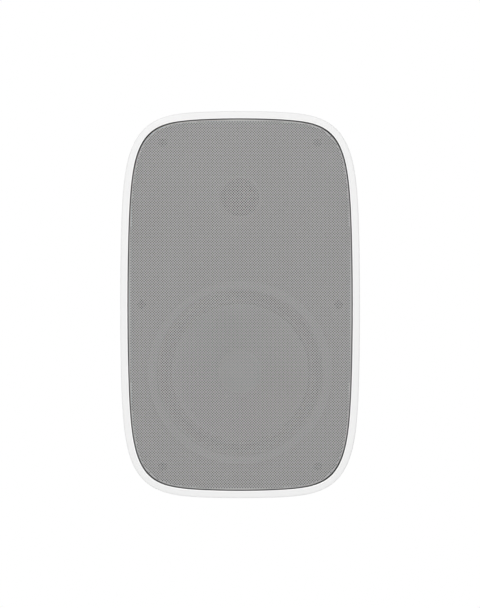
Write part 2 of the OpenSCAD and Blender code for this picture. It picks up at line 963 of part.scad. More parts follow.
// Air-core coil on a flanged bobbin
module inductor(d, h) {
    bore_r = d * 0.2;
    flange = 1.2;
    difference() {
        union() {
            post(d / 2, 0, flange);
            post(d / 2, h - flange, h);
            post(d / 2 - 1, flange - lap, h - flange + lap);
        }
        post(bore_r, -1, h + 1);
    }
}

module woofer_inductor() {
    color("#b5652d")
    placed()
    at_board(-24, 0)
        inductor(inductor_d, 16);
}

module tweeter_inductor() {
    color("#b5652d")
    placed()
    at_board(27, 11)
        inductor(17, 10);
}

// Film capacitor lying along x, with a bent lead at each end
module capacitor(d, length) {
    lead_r = 0.5;
    translate([-length / 2, 0, d / 2 + clear])
        rotate([0, 90, 0])
            cylinder(d = d, h = length);
    translate([-length / 2 - 2, 0, d / 2 + clear])
        rotate([0, 90, 0])
            cylinder(r = lead_r, h = length + 4);
    for (x = [-1, 1])
        translate([x * (length / 2 + 2), 0, 0])
            cylinder(r = lead_r, h = d / 2 + clear);
}

module capacitors() {
    color("#c9a227")
    placed()
    union() {
        at_board(15, -14)
            capacitor(13, 26);
        at_board(6, 1)
            capacitor(9, 15);
    }
}

module resistor() {
    color("#e6e3da")
    placed()
    at_board(-11, 20) {
        translate([-19, -3.5, clear])
            cube([38, 7, 7]);
        for (x = [-17, 17])
            translate([x, 0, 0])
                cylinder(r = 0.5, h = 1);
    }
}

// Terminals in the back
cup_flange_t = 2.4;
cup_gasket_t = 0.8;
cup_flange_z = back_z - cup_gasket_t - cup_flange_t;
cup_floor_z = cup_flange_z + cup_d;
post_tip_z = cup_flange_z + 2.2;
socket_l = 15;
knob_l = 15;
knob_lip = 1.1;
post_end_z = cup_floor_z + cup_t + 7;

module at_cup() {
    translate([0, cup_y, 0])
        children();
}

module at_posts() {
    at_cup()
        for (x = [-1, 1])
            translate([x * post_gap / 2, 0, 0])
                children();
}

module terminal_cup() {
    color("#1f1f21")
    placed()
    difference() {
        at_cup()
        difference() {
            union() {
                slab(cup_flange, cup_round + 2, cup_flange_z, cup_flange_z + cup_flange_t);
                slab(cup_outer, cup_round + cup_t, cup_flange_z + 1, cup_floor_z + cup_t);
            }
            slab(cup, cup_round, cup_flange_z - 1, cup_floor_z);
            at_corners(cup_screw_gap)
                post(cup_screw_d / 2 + running, cup_flange_z - 1, back_z);
        }
        at_posts()
            post(post_d / 2 + running, cup_floor_z - 1, cup_floor_z + cup_t + 1);
    }
}

module terminal_gasket() {
    color("#2b2b2b")
    placed()
    at_cup()
    difference() {
        slab(cup_flange, cup_round + 2, back_z - cup_gasket_t, back_z);
        slab(cup_hole, cup_round + cup_t + 0.5, back_z - 2, back_z + 1);
        at_corners(cup_screw_gap)
            post(cup_screw_d / 2 + running, back_z - 2, back_z + 1);
    }
}

module terminal_posts() {
    color("#c8a24a")
    placed()
    at_posts()
    difference() {
        union() {
            post(post_d / 2, post_tip_z, post_end_z);
            post(post_d / 2 + 2, cup_floor_z - 1.2, cup_floor_z);
        }
        post(socket_d / 2, post_tip_z - 1, post_tip_z + socket_l);
    }
}

module terminal_nuts() {
    color("#c8a24a")
    placed()
    at_posts()
    difference() {
        translate([0, 0, cup_floor_z + cup_t])
            cylinder(d = post_d + 4, h = 3, $fn = 6);
        post(post_d / 2 + running, cup_floor_z, cup_floor_z + cup_t + 4);
    }
}

module terminal_screws() {
    color("#3a3a3a")
    placed()
    at_cup()
    at_corners(cup_screw_gap)
        translate([0, 0, cup_flange_z])
            mirror([0, 0, 1])
                screw(cup_screw_d, cup_screw_l, cup_screw_d * 1.7, cup_screw_d * 0.5);
}

// Turning cap with flutes for the fingers, open at its end for a plug
module terminal_cap(side) {
    flutes = 12;
    low = post_tip_z - clear - knob_lip;
    placed()
    at_cup()
    translate([side * post_gap / 2, 0, 0])
    difference() {
        post(knob_d / 2, low, low + knob_l);
        post(post_d / 2 + running, low + knob_lip, low + knob_l + 1);
        post(socket_d / 2 + clear, low - 1, low + knob_l);
        around(flutes, knob_d / 2 + 0.35, 0)
            post(0.75, low - 1, low + knob_l - 2);
    }
}

module terminal_cap_red() {
    color("#b3262b")
    terminal_cap(-1);
}

module terminal_cap_black() {
    color("#1b1b1c")
    terminal_cap(1);
}

// Internal leads, along routes chosen by hand
lead_r = 1.1;
route_steps = 4;
board_low = board_y - board.y / 2;
start_stub = [0, 0, 2];

// Route through the middle points, with a straight stub along z at each end
function lead_route(start, middle, end, end_stub) =
    smooth_route(concat(
        [start, start + start_stub, start + 2 * start_stub],
        middle,
        [end + 2 * end_stub, end + end_stub, end]
    ), route_steps);

module input_leads() {
    color("#8c1f22")
    placed()
    for (x = [-1, 1])
        tube(lead_route(
            [x * post_gap / 2, cup_y, post_end_z],
            [
                [x * 9, cup_y + 8, post_end_z + 8],
                [x * 8, cup_y + 40, post_end_z + 7],
                [x * 6, 0, post_end_z + 4],
                [x * 6, board_low - 13, board_top + 12]
            ],
            [x * 6, board_low + 2, board_top],
            start_stub
        ), lead_r);
}

// The woofer's leads rise in front of its basket, and end on its tags
tag_y = woofer_y + tag_low + 14;
rise_y = tag_y + 8;

module woofer_leads() {
    color("#1b1b1c")
    placed()
    for (x = [-1, 1])
        tube(lead_route(
            [x * 1.6 - 1, board_low + 2, board_top],
            [
                [x * 3, rise_y + 4, board_top + 24],
                [x * 5, rise_y + 2, tag_z - 48],
                [x * 5, rise_y, tag_z - 20],
                [x * 5, tag_y + 2, tag_z - 11]
            ],
            [x * 5, tag_y, tag_z - tag_board_t - tag_t],
            -start_stub
        ), lead_r);
}

// Wadding between the woofer's leads and the cabinet's top, and its channel for the tweeter's leads
wadding_t = 50;
wadding_space = 2;
wadding_top = 15;
wadding_behind = 35;
wadding_high = [cab_half.y - wadding_top, ring_z - wadding_behind];
wadding_low = [rise_y + 4 + lead_r + wadding_space, wadding_high.y - wadding_t];
channel = [50, tweeter_y - 25];

module tweeter_leads() {
    end_y = tweeter_y - tweeter_d / 2 - 3;
    start = [board.x / 2 - 6, board_y - 6];
    color("#1b1b1c")
    placed()
    for (x = [-1, 1])
        tube(lead_route(
            [start.x + x * 1.6, start.y, board_top],
            [
                [channel.x - 4 + x * 1.6, channel.y - 1, wadding_low.y - 10],
                [channel.x + x * 1.6, channel.y, wadding_low.y + 3],
                [channel.x + x * 1.6, channel.y, wadding_high.y - 2],
                [channel.x - 12 + x * 2, channel.y - 4, ring_z - 22],
                [18 + x * 3, end_y - 2, ring_z - 12]
            ],
            [x * 5.5, end_y, ring_z - 2.2],
            -start_stub
        ), lead_r);
}

// Block of wadding behind the tweeter, cut to the cabinet's inside
module wadding() {
    color("#e9e6dc")
    placed()
    difference() {
        intersection() {
            cavity(clear);
            translate([-cab_w / 2, wadding_low.x, wadding_low.y])
                cube([cab_w, wadding_high.x - wadding_low.x, wadding_high.y - wadding_low.y]);
        }
        translate([channel.x, channel.y, 0])
            post(5, wadding_low.y - 1, wadding_high.y + 1);
    }
}

// Bracket
lug_r = lug_d / 2;
barrel_h = 24;
lug_t = 6;
fork_in = barrel_h / 2;
fork_out = fork_in + lug_t;
tilt_half = 10;
ear_t = 5.7;
ear_in = tilt_half + clear;
ear_out = ear_in + ear_t;
washer_t = 1.2;

// Barrel along y round the axis at z = mid, from y = low to y = high
module pan_round(mid, low, high) {
    translate([0, high, mid])
        rotate([90, 0, 0])
            cylinder(r = lug_r, h = high - low);
}

// Lug that stands on z = base and ends in that barrel
module pan_lug(base, mid, low, high) {
    pan_round(mid, low, high);
    translate([-lug_r, low, base])
        cube([2 * lug_r, high - low, mid - base]);
}

// Bore along y through z = mid
module pan_bore(mid, r) {
    translate([0, fork_out + 20, mid])
        rotate([90, 0, 0])
            cylinder(r = r, h = 2 * fork_out + 40);
}

// Bore along x through z = mid
module tilt_bore(mid, r) {
    translate([-ear_out - 20, 0, mid])
        rotate([0, 90, 0])
            cylinder(r = r, h = 2 * ear_out + 40);
}

module wall_plate() {
    color("#efefed")
    placed()
    difference() {
        union() {
            slab(wall_plate_size, 8, 0, wall_plate_size.z);
            pan_lug(wall_plate_size.z - 1, pan_z, fork_in, fork_out);
            pan_lug(wall_plate_size.z - 1, pan_z, -fork_out, -fork_in);
        }
        pan_bore(pan_z, pan_bolt_d / 2 + running);
        at_corners(wall_hole_gap)
            post(wall_hole_d / 2, -1, wall_plate_size.z + 1);
    }
}

module pan_knuckle() {
    color("#e4e4e2")
    placed()
    difference() {
        union() {
            pan_round(pan_z, -fork_in + clear, fork_in - clear);
            translate([-tilt_half + 2, -fork_in + clear + 3, pan_z])
                cube([2 * tilt_half - 4, 2 * (fork_in - clear - 3), knuckle_l]);
            translate([-tilt_half, 0, tilt_z])
                rotate([0, 90, 0])
                    cylinder(r = lug_r - 1, h = 2 * tilt_half);
        }
        pan_bore(pan_z, pan_bolt_d / 2 + running);
        tilt_bore(tilt_z, tilt_bolt_d / 2 + running);
    }
}

// Bolt along z with a hexagon head that starts at z = 0 and points down
module hex_bolt(d, length) {
    translate([0, 0, -d * 0.65])
        cylinder(d = d * 1.8, h = d * 0.65, $fn = 6);
    post(d / 2, -lap, length);
}

module hex_nut(d, h) {
    difference() {
        cylinder(d = d * 1.8, h = h, $fn = 6);
        post(d / 2 + running, -1, h + 1);
    }
}

nut_share = 0.8;
pan_bolt_l = 2 * (fork_out + washer_t) + pan_bolt_d * nut_share + 2;
tilt_bolt_l = 2 * (ear_out + washer_t) + tilt_bolt_d * nut_share + 2;

module along_pan() {
    translate([0, fork_out + washer_t, pan_z])
        rotate([90, 0, 0])
            children();
}

module along_tilt() {
    translate([ear_out + washer_t, 0, tilt_z])
        rotate([0, -90, 0])
            children();
}

module pan_bolt() {
    color("#b9bbbd")
    placed()
    along_pan()
        hex_bolt(pan_bolt_d, pan_bolt_l);
}

module pan_nut() {
    color("#b9bbbd")
    placed()
    along_pan()
        translate([0, 0, 2 * (fork_out + washer_t)])
            hex_nut(pan_bolt_d, pan_bolt_d * nut_share);
}

module pan_washers() {
    color("#b9bbbd")
    placed()
    along_pan()
        for (z = [0, 2 * fork_out + washer_t])
            ring(pan_bolt_d / 2 + running, pan_bolt_d, z, z + washer_t);
}

module speaker_plate() {
    color("#efefed")
    placed()
    difference() {
        union() {
            slab(speaker_plate_size, 6, plate_z, back_z);
            for (x = [-1, 1])
                translate([x * (ear_in + ear_t / 2), 0, 0]) {
                    translate([-ear_t / 2, 0, tilt_z])
                        rotate([0, 90, 0])
                            cylinder(r = lug_r, h = ear_t);
                    translate([-ear_t / 2, -lug_r, tilt_z])
                        cube([ear_t, 2 * lug_r, lug_r + 1]);
                }
        }
        tilt_bore(tilt_z, tilt_bolt_d / 2 + running);
        at_corners(speaker_hole_gap)
            post(speaker_screw_d / 2 + running, plate_z - 1, back_z + 1);
    }
}

module tilt_bolt() {
    color("#b9bbbd")
    placed()
    along_tilt()
        hex_bolt(tilt_bolt_d, tilt_bolt_l);
}

module tilt_nut() {
    color("#b9bbbd")
    placed()
    along_tilt()
        translate([0, 0, 2 * (ear_out + washer_t)])
            hex_nut(tilt_bolt_d, tilt_bolt_d * nut_share);
}

module tilt_washers() {
    color("#b9bbbd")
    placed()
    along_tilt()
        for (z = [0, 2 * ear_out + washer_t])
            ring(tilt_bolt_d / 2 + running, tilt_bolt_d, z, z + washer_t);
}

module speaker_plate_screws() {
    color("#b9bbbd")
    placed()
    at_corners(speaker_hole_gap)
        translate([0, 0, plate_z])
            mirror([0, 0, 1])
                screw(speaker_screw_d, speaker_plate_size.z + insert_l, speaker_screw_d * 1.7,
                    speaker_screw_d * 0.6);
}

module threaded_inserts() {
    color("#c8a24a")
    placed()
    at_corners(speaker_hole_gap)
        ring(speaker_screw_d / 2 + running, insert_r, back_z, back_z + insert_l);
}

cabinet();
cabinet_gasket();
baffle();
baffle_screws();
grille();
woofer_basket();
woofer_trim_ring();
woofer_surround();
woofer_cone();
woofer_dust_cap();
voice_coil_former();
voice_coil_winding();
woofer_spider();
woofer_top_plate();
woofer_magnet();
woofer_pole_plate();
woofer_terminals();
woofer_screws();
tweeter_mount_ring();
tweeter_dome();
tweeter_surround();
tweeter_coil();
tweeter_top_plate();
tweeter_magnet();
tweeter_pole_plate();
tweeter_terminals();
tweeter_screws();
crossover_board();
board_screws();
woofer_inductor();
tweeter_inductor();
capacitors();
resistor();
terminal_cup();
terminal_gasket();
terminal_posts();
terminal_nuts();
terminal_screws();
terminal_cap_red();
terminal_cap_black();
input_leads();
woofer_leads();
tweeter_leads();
wadding();
wall_plate();
pan_bolt();
pan_nut();
pan_washers();
pan_knuckle();
speaker_plate();
tilt_bolt();
tilt_nut();
tilt_washers();
speaker_plate_screws();
threaded_inserts();
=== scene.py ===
import math

import bpy
import numpy as np
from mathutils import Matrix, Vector
from mathutils.geometry import delaunay_2d_cdt

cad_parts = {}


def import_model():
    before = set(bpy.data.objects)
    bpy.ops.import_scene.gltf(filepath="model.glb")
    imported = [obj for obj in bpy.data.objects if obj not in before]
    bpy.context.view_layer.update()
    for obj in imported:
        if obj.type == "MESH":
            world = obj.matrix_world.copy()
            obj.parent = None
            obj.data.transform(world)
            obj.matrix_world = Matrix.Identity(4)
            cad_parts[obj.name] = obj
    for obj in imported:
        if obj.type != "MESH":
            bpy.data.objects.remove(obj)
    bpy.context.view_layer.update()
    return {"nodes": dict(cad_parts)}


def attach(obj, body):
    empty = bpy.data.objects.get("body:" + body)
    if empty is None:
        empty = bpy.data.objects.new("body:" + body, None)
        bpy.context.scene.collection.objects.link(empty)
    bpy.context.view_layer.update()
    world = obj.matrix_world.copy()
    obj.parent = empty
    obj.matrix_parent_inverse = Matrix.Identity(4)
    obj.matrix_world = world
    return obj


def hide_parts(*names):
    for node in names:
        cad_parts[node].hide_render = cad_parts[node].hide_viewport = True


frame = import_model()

NODES = frame["nodes"]
MM = 0.001


# Sizes in millimetres: x to the right, y up, z out from the wall
CAB_HALF = np.array([96.35, 155.5])
BACK_HALF = np.array([55.0, 100.0])
RIM_W = 5.8
FACE_HALF = CAB_HALF - RIM_W
# How square each outline's corners are, and how much its sides and ends bow out
CAB_POWER, CAB_BOW = (5.32, 6.35), (0.044, 0.0285)
FACE_POWER, FACE_BOW = (6.75, 6.86), (0.053, 0.0366)
BACK_POWER = (2.4, 2.0)
WALL = 3.4
CAB_D = 150.0
BACK_Z = 55.0
FRONT_Z = BACK_Z + CAB_D
OUTER_ROUND = 1.2
INNER_ROUND = 0.35
BEAD_W, BEAD_H = 1.0, 0.25
LEDGE_W, LEDGE_T = 8.0, 3.0
LEDGE_Z = 187.0
BAFFLE_EDGE_Z = 192.0
GRILLE_Z = 204.0
GRILLE_GAP = 0.7
GRILLE_T = 0.6
FOLD_R = 1.0
SKIRT_Z = BAFFLE_EDGE_Z + 0.3

# Smooth shading ends where two faces of a piece turn by more degrees than this
CRISP, GRILLE_CRISP, ALL_SMOOTH = 35, 32, 180


def four(x, y, middle_y=0.0):
    """Four places, mirrored about the middle."""
    return [(side * x, middle_y + end * y) for side in (-1, 1) for end in (-1, 1)]


BAFFLE_SCREWS = four(62.55, 130.7) + [(-79.55, 0.0), (79.55, 0.0)]
INSERTS = four(20, 30)
CUP_Y = -70.0
CUP_SCREWS = four(29.5, 21.5, CUP_Y)
BOARD_SCREWS = four(38, 19, 66.0)


def in_frame(x, y, z):
    """Bench millimetres to the row frame's metres."""
    return np.stack([x, -z, y], axis=-1) * MM


# Outlines

def quarter_point(half, power, bow, t):
    u = np.cos(t) ** (2 / power[0])
    v = np.sin(t) ** (2 / power[1])
    return half[0] * u * (1 - bow[0] * v * v), half[1] * v * (1 - bow[1] * u * u)


def outline(half, power, bow, steps):
    """Closed outline of four mirrored quarters, gathered at the corners, anticlockwise."""
    s = np.arange(steps) / steps
    rising = s * s / (s * s + (1 - s) ** 2) * math.pi / 2
    s = 1 - s
    falling = s * s / (s * s + (1 - s) ** 2) * math.pi / 2
    turns = [(rising, 1, 1), (falling, -1, 1), (rising, -1, -1), (falling, 1, -1)]
    points = []
    for t, sign_x, sign_y in turns:
        x, y = quarter_point(half, power, bow, t)
        points.append(np.stack([sign_x * x, sign_y * y], axis=-1))
    return np.concatenate(points)


def cab_outline(half, steps=60):
    return outline(half, CAB_POWER, CAB_BOW, steps)


def face_outline(inset, steps=60):
    return outline(FACE_HALF - inset, FACE_POWER, FACE_BOW, steps)


# Meshes

def new_piece(name, vertices, faces, smooth_below=None):
    mesh = bpy.data.meshes.new(name)
    mesh.from_pydata([tuple(v) for v in vertices], [], [tuple(int(i) for i in f) for f in faces])
    mesh.update()
    piece = bpy.data.objects.new(name, mesh)
    bpy.context.scene.collection.objects.link(piece)
    if smooth_below is not None:
        smooth(piece, smooth_below)
    return piece


def smooth(piece, degrees):
    """Smooth shading, with edges sharper than the given angle kept crisp."""
    mesh = piece.data
    mesh.polygons.foreach_set("use_smooth", np.ones(len(mesh.polygons), bool))
    mesh.set_sharp_from_angle(angle=math.radians(degrees))
    mesh.update()


def fast_mesh(name, vertices, triangles):
    """Mesh of many triangles, filled in without a loop."""
    mesh = bpy.data.meshes.new(name)
    mesh.vertices.add(len(vertices))
    mesh.vertices.foreach_set("co", np.ascontiguousarray(vertices, np.float32).ravel())
    mesh.loops.add(len(triangles) * 3)
    mesh.loops.foreach_set("vertex_index", np.ascontiguousarray(triangles, np.int32).ravel())
    mesh.polygons.add(len(triangles))
    mesh.polygons.foreach_set("loop_start", np.arange(0, 3 * len(triangles), 3, dtype=np.int32))
    mesh.update(calc_edges=True)
    mesh.validate()
    piece = bpy.data.objects.new(name, mesh)
    bpy.context.scene.collection.objects.link(piece)
    return piece


def ring_faces(count, rings):
    """Quads between neighbouring rings of count points, each ring anticlockwise and one above the other."""
    quads = []
    for k in range(rings - 1):
        a, b = k * count, (k + 1) * count
        for i in range(count):
            j = (i + 1) % count
            quads.append((a + i, a + j, b + j, b + i))
    return quads


def applied(piece):
    """Bakes the piece's modifiers into its mesh."""
    bpy.context.view_layer.update()
    graph = bpy.context.evaluated_depsgraph_get()
    mesh = bpy.data.meshes.new_from_object(piece.evaluated_get(graph))
    piece.modifiers.clear()
    piece.data = mesh
    return piece


def solid_post(cx, cy, r, low, high, sides=32):
    turn = np.arange(sides) * 2 * math.pi / sides
    x, y = cx + r * np.cos(turn), cy + r * np.sin(turn)
    points = np.concatenate([in_frame(x, y, np.full(sides, z)) for z in (low, high)])
    faces = ring_faces(sides, 2) + [tuple(range(sides))[::-1], tuple(range(sides, 2 * sides))]
    return points, faces


def solid_slab(cx, cy, w, h, r, low, high, sides=8):
    corners = []
    for k, (sx, sy) in enumerate([(1, 1), (-1, 1), (-1, -1), (1, -1)]):
        turn = math.pi / 2 * (k + np.arange(sides + 1) / sides)
        x = cx + sx * (w / 2 - r) + r * np.cos(turn)
        y = cy + sy * (h / 2 - r) + r * np.sin(turn)
        corners.append(np.stack([x, y], axis=-1))
    flat = np.concatenate(corners)
    count = len(flat)
    points = np.concatenate([in_frame(flat[:, 0], flat[:, 1], np.full(count, z)) for z in (low, high)])
    faces = ring_faces(count, 2) + [tuple(range(count))[::-1], tuple(range(count, 2 * count))]
    return points, faces


def joined(parts):
    points, faces, start = [], [], 0
    for p, f in parts:
        points.append(p)
        faces += [tuple(i + start for i in face) for face in f]
        start += len(p)
    return np.concatenate(points), faces


def cut(piece, parts):
    """Cuts solids out of the piece."""
    cutter = new_piece("cutter", *joined(parts))
    modifier = piece.modifiers.new("cut", "BOOLEAN")
    modifier.operation = "DIFFERENCE"
    modifier.solver = "EXACT"
    modifier.object = cutter
    applied(piece)
    bpy.data.objects.remove(cutter)


# Materials

def linear(code):
    """Linear colour of an sRGB hex code."""
    parts = [int(code[i:i + 2], 16) / 255 for i in (1, 3, 5)]
    return tuple(c / 12.92 if c <= 0.04045 else ((c + 0.055) / 1.055) ** 2.4 for c in parts) + (1.0,)


def add(tree, kind, inputs=None, **settings):
    """One node; an input is a value, or an output of another node to link."""
    node = tree.nodes.new(kind)
    for key, value in settings.items():
        setattr(node, key, value)
    for key, value in (inputs or {}).items():
        if isinstance(value, bpy.types.NodeSocket):
            tree.links.new(value, node.inputs[key])
        else:
            node.inputs[key].default_value = value
    return node


def surface(name, code, roughness, ior=1.5, metallic=0.0, **values):
    """Material with one principled shader; values name more of its sockets."""
    material = bpy.data.materials.new(name)
    material.use_nodes = True
    tree = material.node_tree
    shader = tree.nodes["Principled BSDF"]
    shader.inputs["Base Color"].default_value = linear(code)
    shader.inputs["Roughness"].default_value = roughness
    shader.inputs["IOR"].default_value = ior
    shader.inputs["Metallic"].default_value = metallic
    for key, value in values.items():
        shader.inputs[key.replace("_", " ")].default_value = value
    place = add(tree, "ShaderNodeTexCoord").outputs["Object"]
    return material, tree, shader, place


def per_mm(size):
    """Scale of a noise whose features are that many millimetres wide."""
    return 1 / (size * MM)


def per_turn(size):
    """Scale of a wave texture that repeats every so many millimetres."""
    return 0.314 / (size * MM)


# A mix node's sockets for its two colours and for its result
LOW, HIGH, MIXED = 6, 7, 2


def tint_and_emboss(tree, shader, pattern, code_low, code_high, depth_mm):
    """Lets one pattern set both the colour, between two codes, and the relief."""
    tone = add(tree, "ShaderNodeMix", {"Factor": pattern, LOW: linear(code_low), HIGH: linear(code_high)},
               data_type="RGBA")
    tree.links.new(tone.outputs[MIXED], shader.inputs["Base Color"])
    bump = add(tree, "ShaderNodeBump", {"Height": pattern, "Distance": depth_mm * MM})
    tree.links.new(bump.outputs["Normal"], shader.inputs["Normal"])


def skin(name, code, roughness, grain_mm, depth_mm, ior=1.5, wander=0.06, metallic=0.0, **values):
    """Moulded or coated finish: one fine grain, and a roughness that wanders over a wider stretch."""
    material, tree, shader, place = surface(name, code, roughness, ior, metallic, **values)
    grain = add(tree, "ShaderNodeTexNoise", {"Vector": place, "Scale": per_mm(grain_mm), "Detail": 3.0})
    bump = add(tree, "ShaderNodeBump", {"Height": grain.outputs["Fac"], "Distance": depth_mm * MM})
    tree.links.new(bump.outputs["Normal"], shader.inputs["Normal"])
    wide = add(tree, "ShaderNodeTexNoise", {"Vector": place, "Scale": per_mm(grain_mm * 30), "Detail": 2.0})
    spread = add(tree, "ShaderNodeMapRange", {
        "Value": wide.outputs["Fac"], "From Min": 0.3, "From Max": 0.7,
        "To Min": roughness - wander, "To Max": roughness + wander,
    })
    tree.links.new(spread.outputs["Result"], shader.inputs["Roughness"])
    return material


def white_abs():
    # Spark-eroded ABS: a fine grain that keeps the white rim soft, with no hard highlight
    return skin("spark_eroded_white_abs", "#F0F0F0", 0.44, 0.35, 0.01, ior=1.53)


def bead_painted_highlight():
    # The mould's polished land round the rim's inner edge: glossy, and painted a brighter white than the rim
    # as a painted highlight line
    return skin("polished_white_abs_painted_highlight", "#FCFCFC", 0.2, 0.8, 0.002, ior=1.53, wander=0.03)


def powder_coated_grille():
    # Thin polyester powder coat on steel: satin, with the faint orange peel of a sprayed sheet
    return skin("grey_powder_coated_steel", "#AEAEAE", 0.56, 0.9, 0.005)


def powder_coated_bracket():
    # Thicker powder coat on the bracket: its orange peel is wider than the grille's
    return skin("white_powder_coated_steel", "#EFEFED", 0.38, 1.6, 0.03)


def grey_abs():
    # Moulded ABS of the baffle: dark grey and matt, so that it fades behind the grille
    return skin("grey_moulded_abs", "#565758", 0.5, 0.5, 0.02, ior=1.53)


def black_abs():
    # Black ABS of the terminal cup, from a finer and glossier mould than the baffle's
    return skin("black_moulded_abs", "#1B1B1C", 0.36, 0.6, 0.012, ior=1.53)


def polished_abs(name, code):
    # Polished ABS of a turning cap: tight highlights run along its flutes
    return skin(name, code, 0.22, 0.8, 0.003, ior=1.54, wander=0.04)


def butyl_rubber():
    # Butyl rubber of the woofer's roll: dark grey and even, with a soft bloom at its edges
    return skin("butyl_rubber", "#3A3B3D", 0.34, 0.4, 0.004, ior=1.52, wander=0.02, Sheen_Weight=0.12)


def lacquered_steel(name, code):
    # Pressed steel in smooth grey lacquer: its edges still catch some light behind the grille
    return skin(name, code, 0.34, 0.7, 0.005)


def phosphated_steel():
    # Black phosphated screws: dull metal with an oily, uneven gloss
    return skin("black_phosphated_steel", "#2A2A2C", 0.42, 0.3, 0.006, metallic=0.8, wander=0.1)


def turned_brass():
    # Turned brass: warm metal whose gloss shows the lathe's fine lines
    material, tree, shader, place = surface("turned_brass", "#D2A95A", 0.26, metallic=1.0)
    lines = add(tree, "ShaderNodeTexWave", {"Vector": place, "Scale": per_turn(0.35), "Distortion": 0.2},
                wave_type="BANDS", bands_direction="Y", wave_profile="SIN")
    bump = add(tree, "ShaderNodeBump", {"Height": lines.outputs["Fac"], "Distance": 0.01 * MM})
    tree.links.new(bump.outputs["Normal"], shader.inputs["Normal"])
    dulled = add(tree, "ShaderNodeTexNoise", {"Vector": place, "Scale": per_mm(4.0), "Detail": 4.0})
    spread = add(tree, "ShaderNodeMapRange", {"Value": dulled.outputs["Fac"], "To Min": 0.16, "To Max": 0.38})
    tree.links.new(spread.outputs["Result"], shader.inputs["Roughness"])
    return material


def polypropylene(name, code_low, code_high):
    # Mica-filled polypropylene: satin grey in which flakes glint here and there
    material, tree, shader, place = surface(name, code_low, 0.34, 1.49)
    flakes = add(tree, "ShaderNodeTexVoronoi", {"Vector": place, "Scale": per_mm(0.6)})
    glint = add(tree, "ShaderNodeMapRange", {
        "Value": flakes.outputs["Distance"], "From Max": 0.3, "To Min": 0.18, "To Max": 0.34,
    })
    tree.links.new(glint.outputs["Result"], shader.inputs["Roughness"])
    cloudy = add(tree, "ShaderNodeTexNoise", {"Vector": place, "Scale": per_mm(3.0), "Detail": 5.0})
    tint_and_emboss(tree, shader, cloudy.outputs["Fac"], code_low, code_high, 0.01)
    return material


def zinc_plate():
    # Clear-passivated zinc on steel: bright, with the fine mottle and bluish cast of the plating
    material, tree, shader, place = surface("zinc_plated_steel", "#C9CBCE", 0.3, metallic=1.0)
    mottle = add(tree, "ShaderNodeTexNoise", {"Vector": place, "Scale": per_mm(2.5), "Detail": 5.0})
    spread = add(tree, "ShaderNodeMapRange", {"Value": mottle.outputs["Fac"], "To Min": 0.2, "To Max": 0.42})
    tree.links.new(spread.outputs["Result"], shader.inputs["Roughness"])
    tint_and_emboss(tree, shader, mottle.outputs["Fac"], "#B4B7BC", "#D6D7D8", 0.008)
    return material


def ferrite():
    # Sintered ferrite: matt charcoal, with the pits and specks of a ground ceramic
    material, tree, shader, place = surface("sintered_ferrite", "#2E2E31", 0.62, 1.5)
    specks = add(tree, "ShaderNodeTexNoise", {
        "Vector": place, "Scale": per_mm(0.6), "Detail": 6.0, "Roughness": 0.7,
    })
    tint_and_emboss(tree, shader, specks.outputs["Fac"], "#222225", "#3D3D41", 0.05)
    return material


def enamelled_copper():
    # Enamelled copper wire, 0.5 mm a turn: fine dark grooves between warm, glossy turns
    material, tree, shader, place = surface("enamelled_copper", "#B5652D", 0.28, metallic=0.9,
                                            Coat_Weight=0.6, Coat_Roughness=0.12)
    turns = add(tree, "ShaderNodeTexWave", {
        "Vector": place, "Scale": per_turn(0.5), "Distortion": 0.4, "Detail": 1.0,
    }, wave_type="BANDS", bands_direction="Y", wave_profile="SIN")
    tint_and_emboss(tree, shader, turns.outputs["Fac"], "#6E3414", "#CC7836", 0.12)
    return material


def woven(name, code_low, code_high, thread_mm, depth_mm, roughness, ior=1.5, **values):
    """Cloth whose threads cross along the baffle's two directions."""
    material, tree, shader, place = surface(name, code_high, roughness, ior, **values)
    waves = [
        add(tree, "ShaderNodeTexWave", {"Vector": place, "Scale": per_turn(thread_mm), "Distortion": 0.3},
            wave_type="BANDS", bands_direction=direction, wave_profile="SIN")
        for direction in ("X", "Z")
    ]
    threads = add(tree, "ShaderNodeMath", {0: waves[0].outputs["Fac"], 1: waves[1].outputs["Fac"]},
                  operation="MULTIPLY")
    tint_and_emboss(tree, shader, threads.outputs[0], code_low, code_high, depth_mm)
    return material


def dipped_cotton():
    # Cotton of the spider, stiffened with amber resin: an open weave, 0.7 mm a thread
    return woven("resin_dipped_cotton", "#7E5A27", "#C79C55", 0.7, 0.15, 0.55, 1.55)


def coated_silk():
    # Silk dome under a damping coat: so fine that its threads are drawn 0.35 mm apart to show at all
    return woven("coated_silk", "#2C2D30", "#3C3D40", 0.35, 0.01, 0.26, 1.48,
                 Sheen_Weight=0.2, Coat_Weight=0.6)


def masked_fibreglass():
    # Green solder mask over glass cloth: glossy, with the cloth's grid just showing through
    return woven("solder_masked_fibreglass", "#184C2F", "#246642", 0.6, 0.01, 0.28, 1.55, Coat_Weight=0.4)


def former_paper():
    # Heat-proof brown paper of the woofer's coil former
    return skin("former_paper", "#A97F48", 0.6, 0.5, 0.01)


def film_wrap():
    # Polyester tape round the capacitors: glossy yellow, slightly rippled
    return skin("polyester_film_wrap", "#D8A21E", 0.24, 2.5, 0.02, ior=1.6, wander=0.05)


def fired_cement():
    # Cement case of the resistor: chalky and full of fine pores
    material, tree, shader, place = surface("fired_cement", "#E3E0D6", 0.8, 1.5)
    pores = add(tree, "ShaderNodeTexNoise", {
        "Vector": place, "Scale": per_mm(0.7), "Detail": 6.0, "Roughness": 0.65,
    })
    tint_and_emboss(tree, shader, pores.outputs["Fac"], "#CDC9BB", "#F3F1EA", 0.08)
    return material


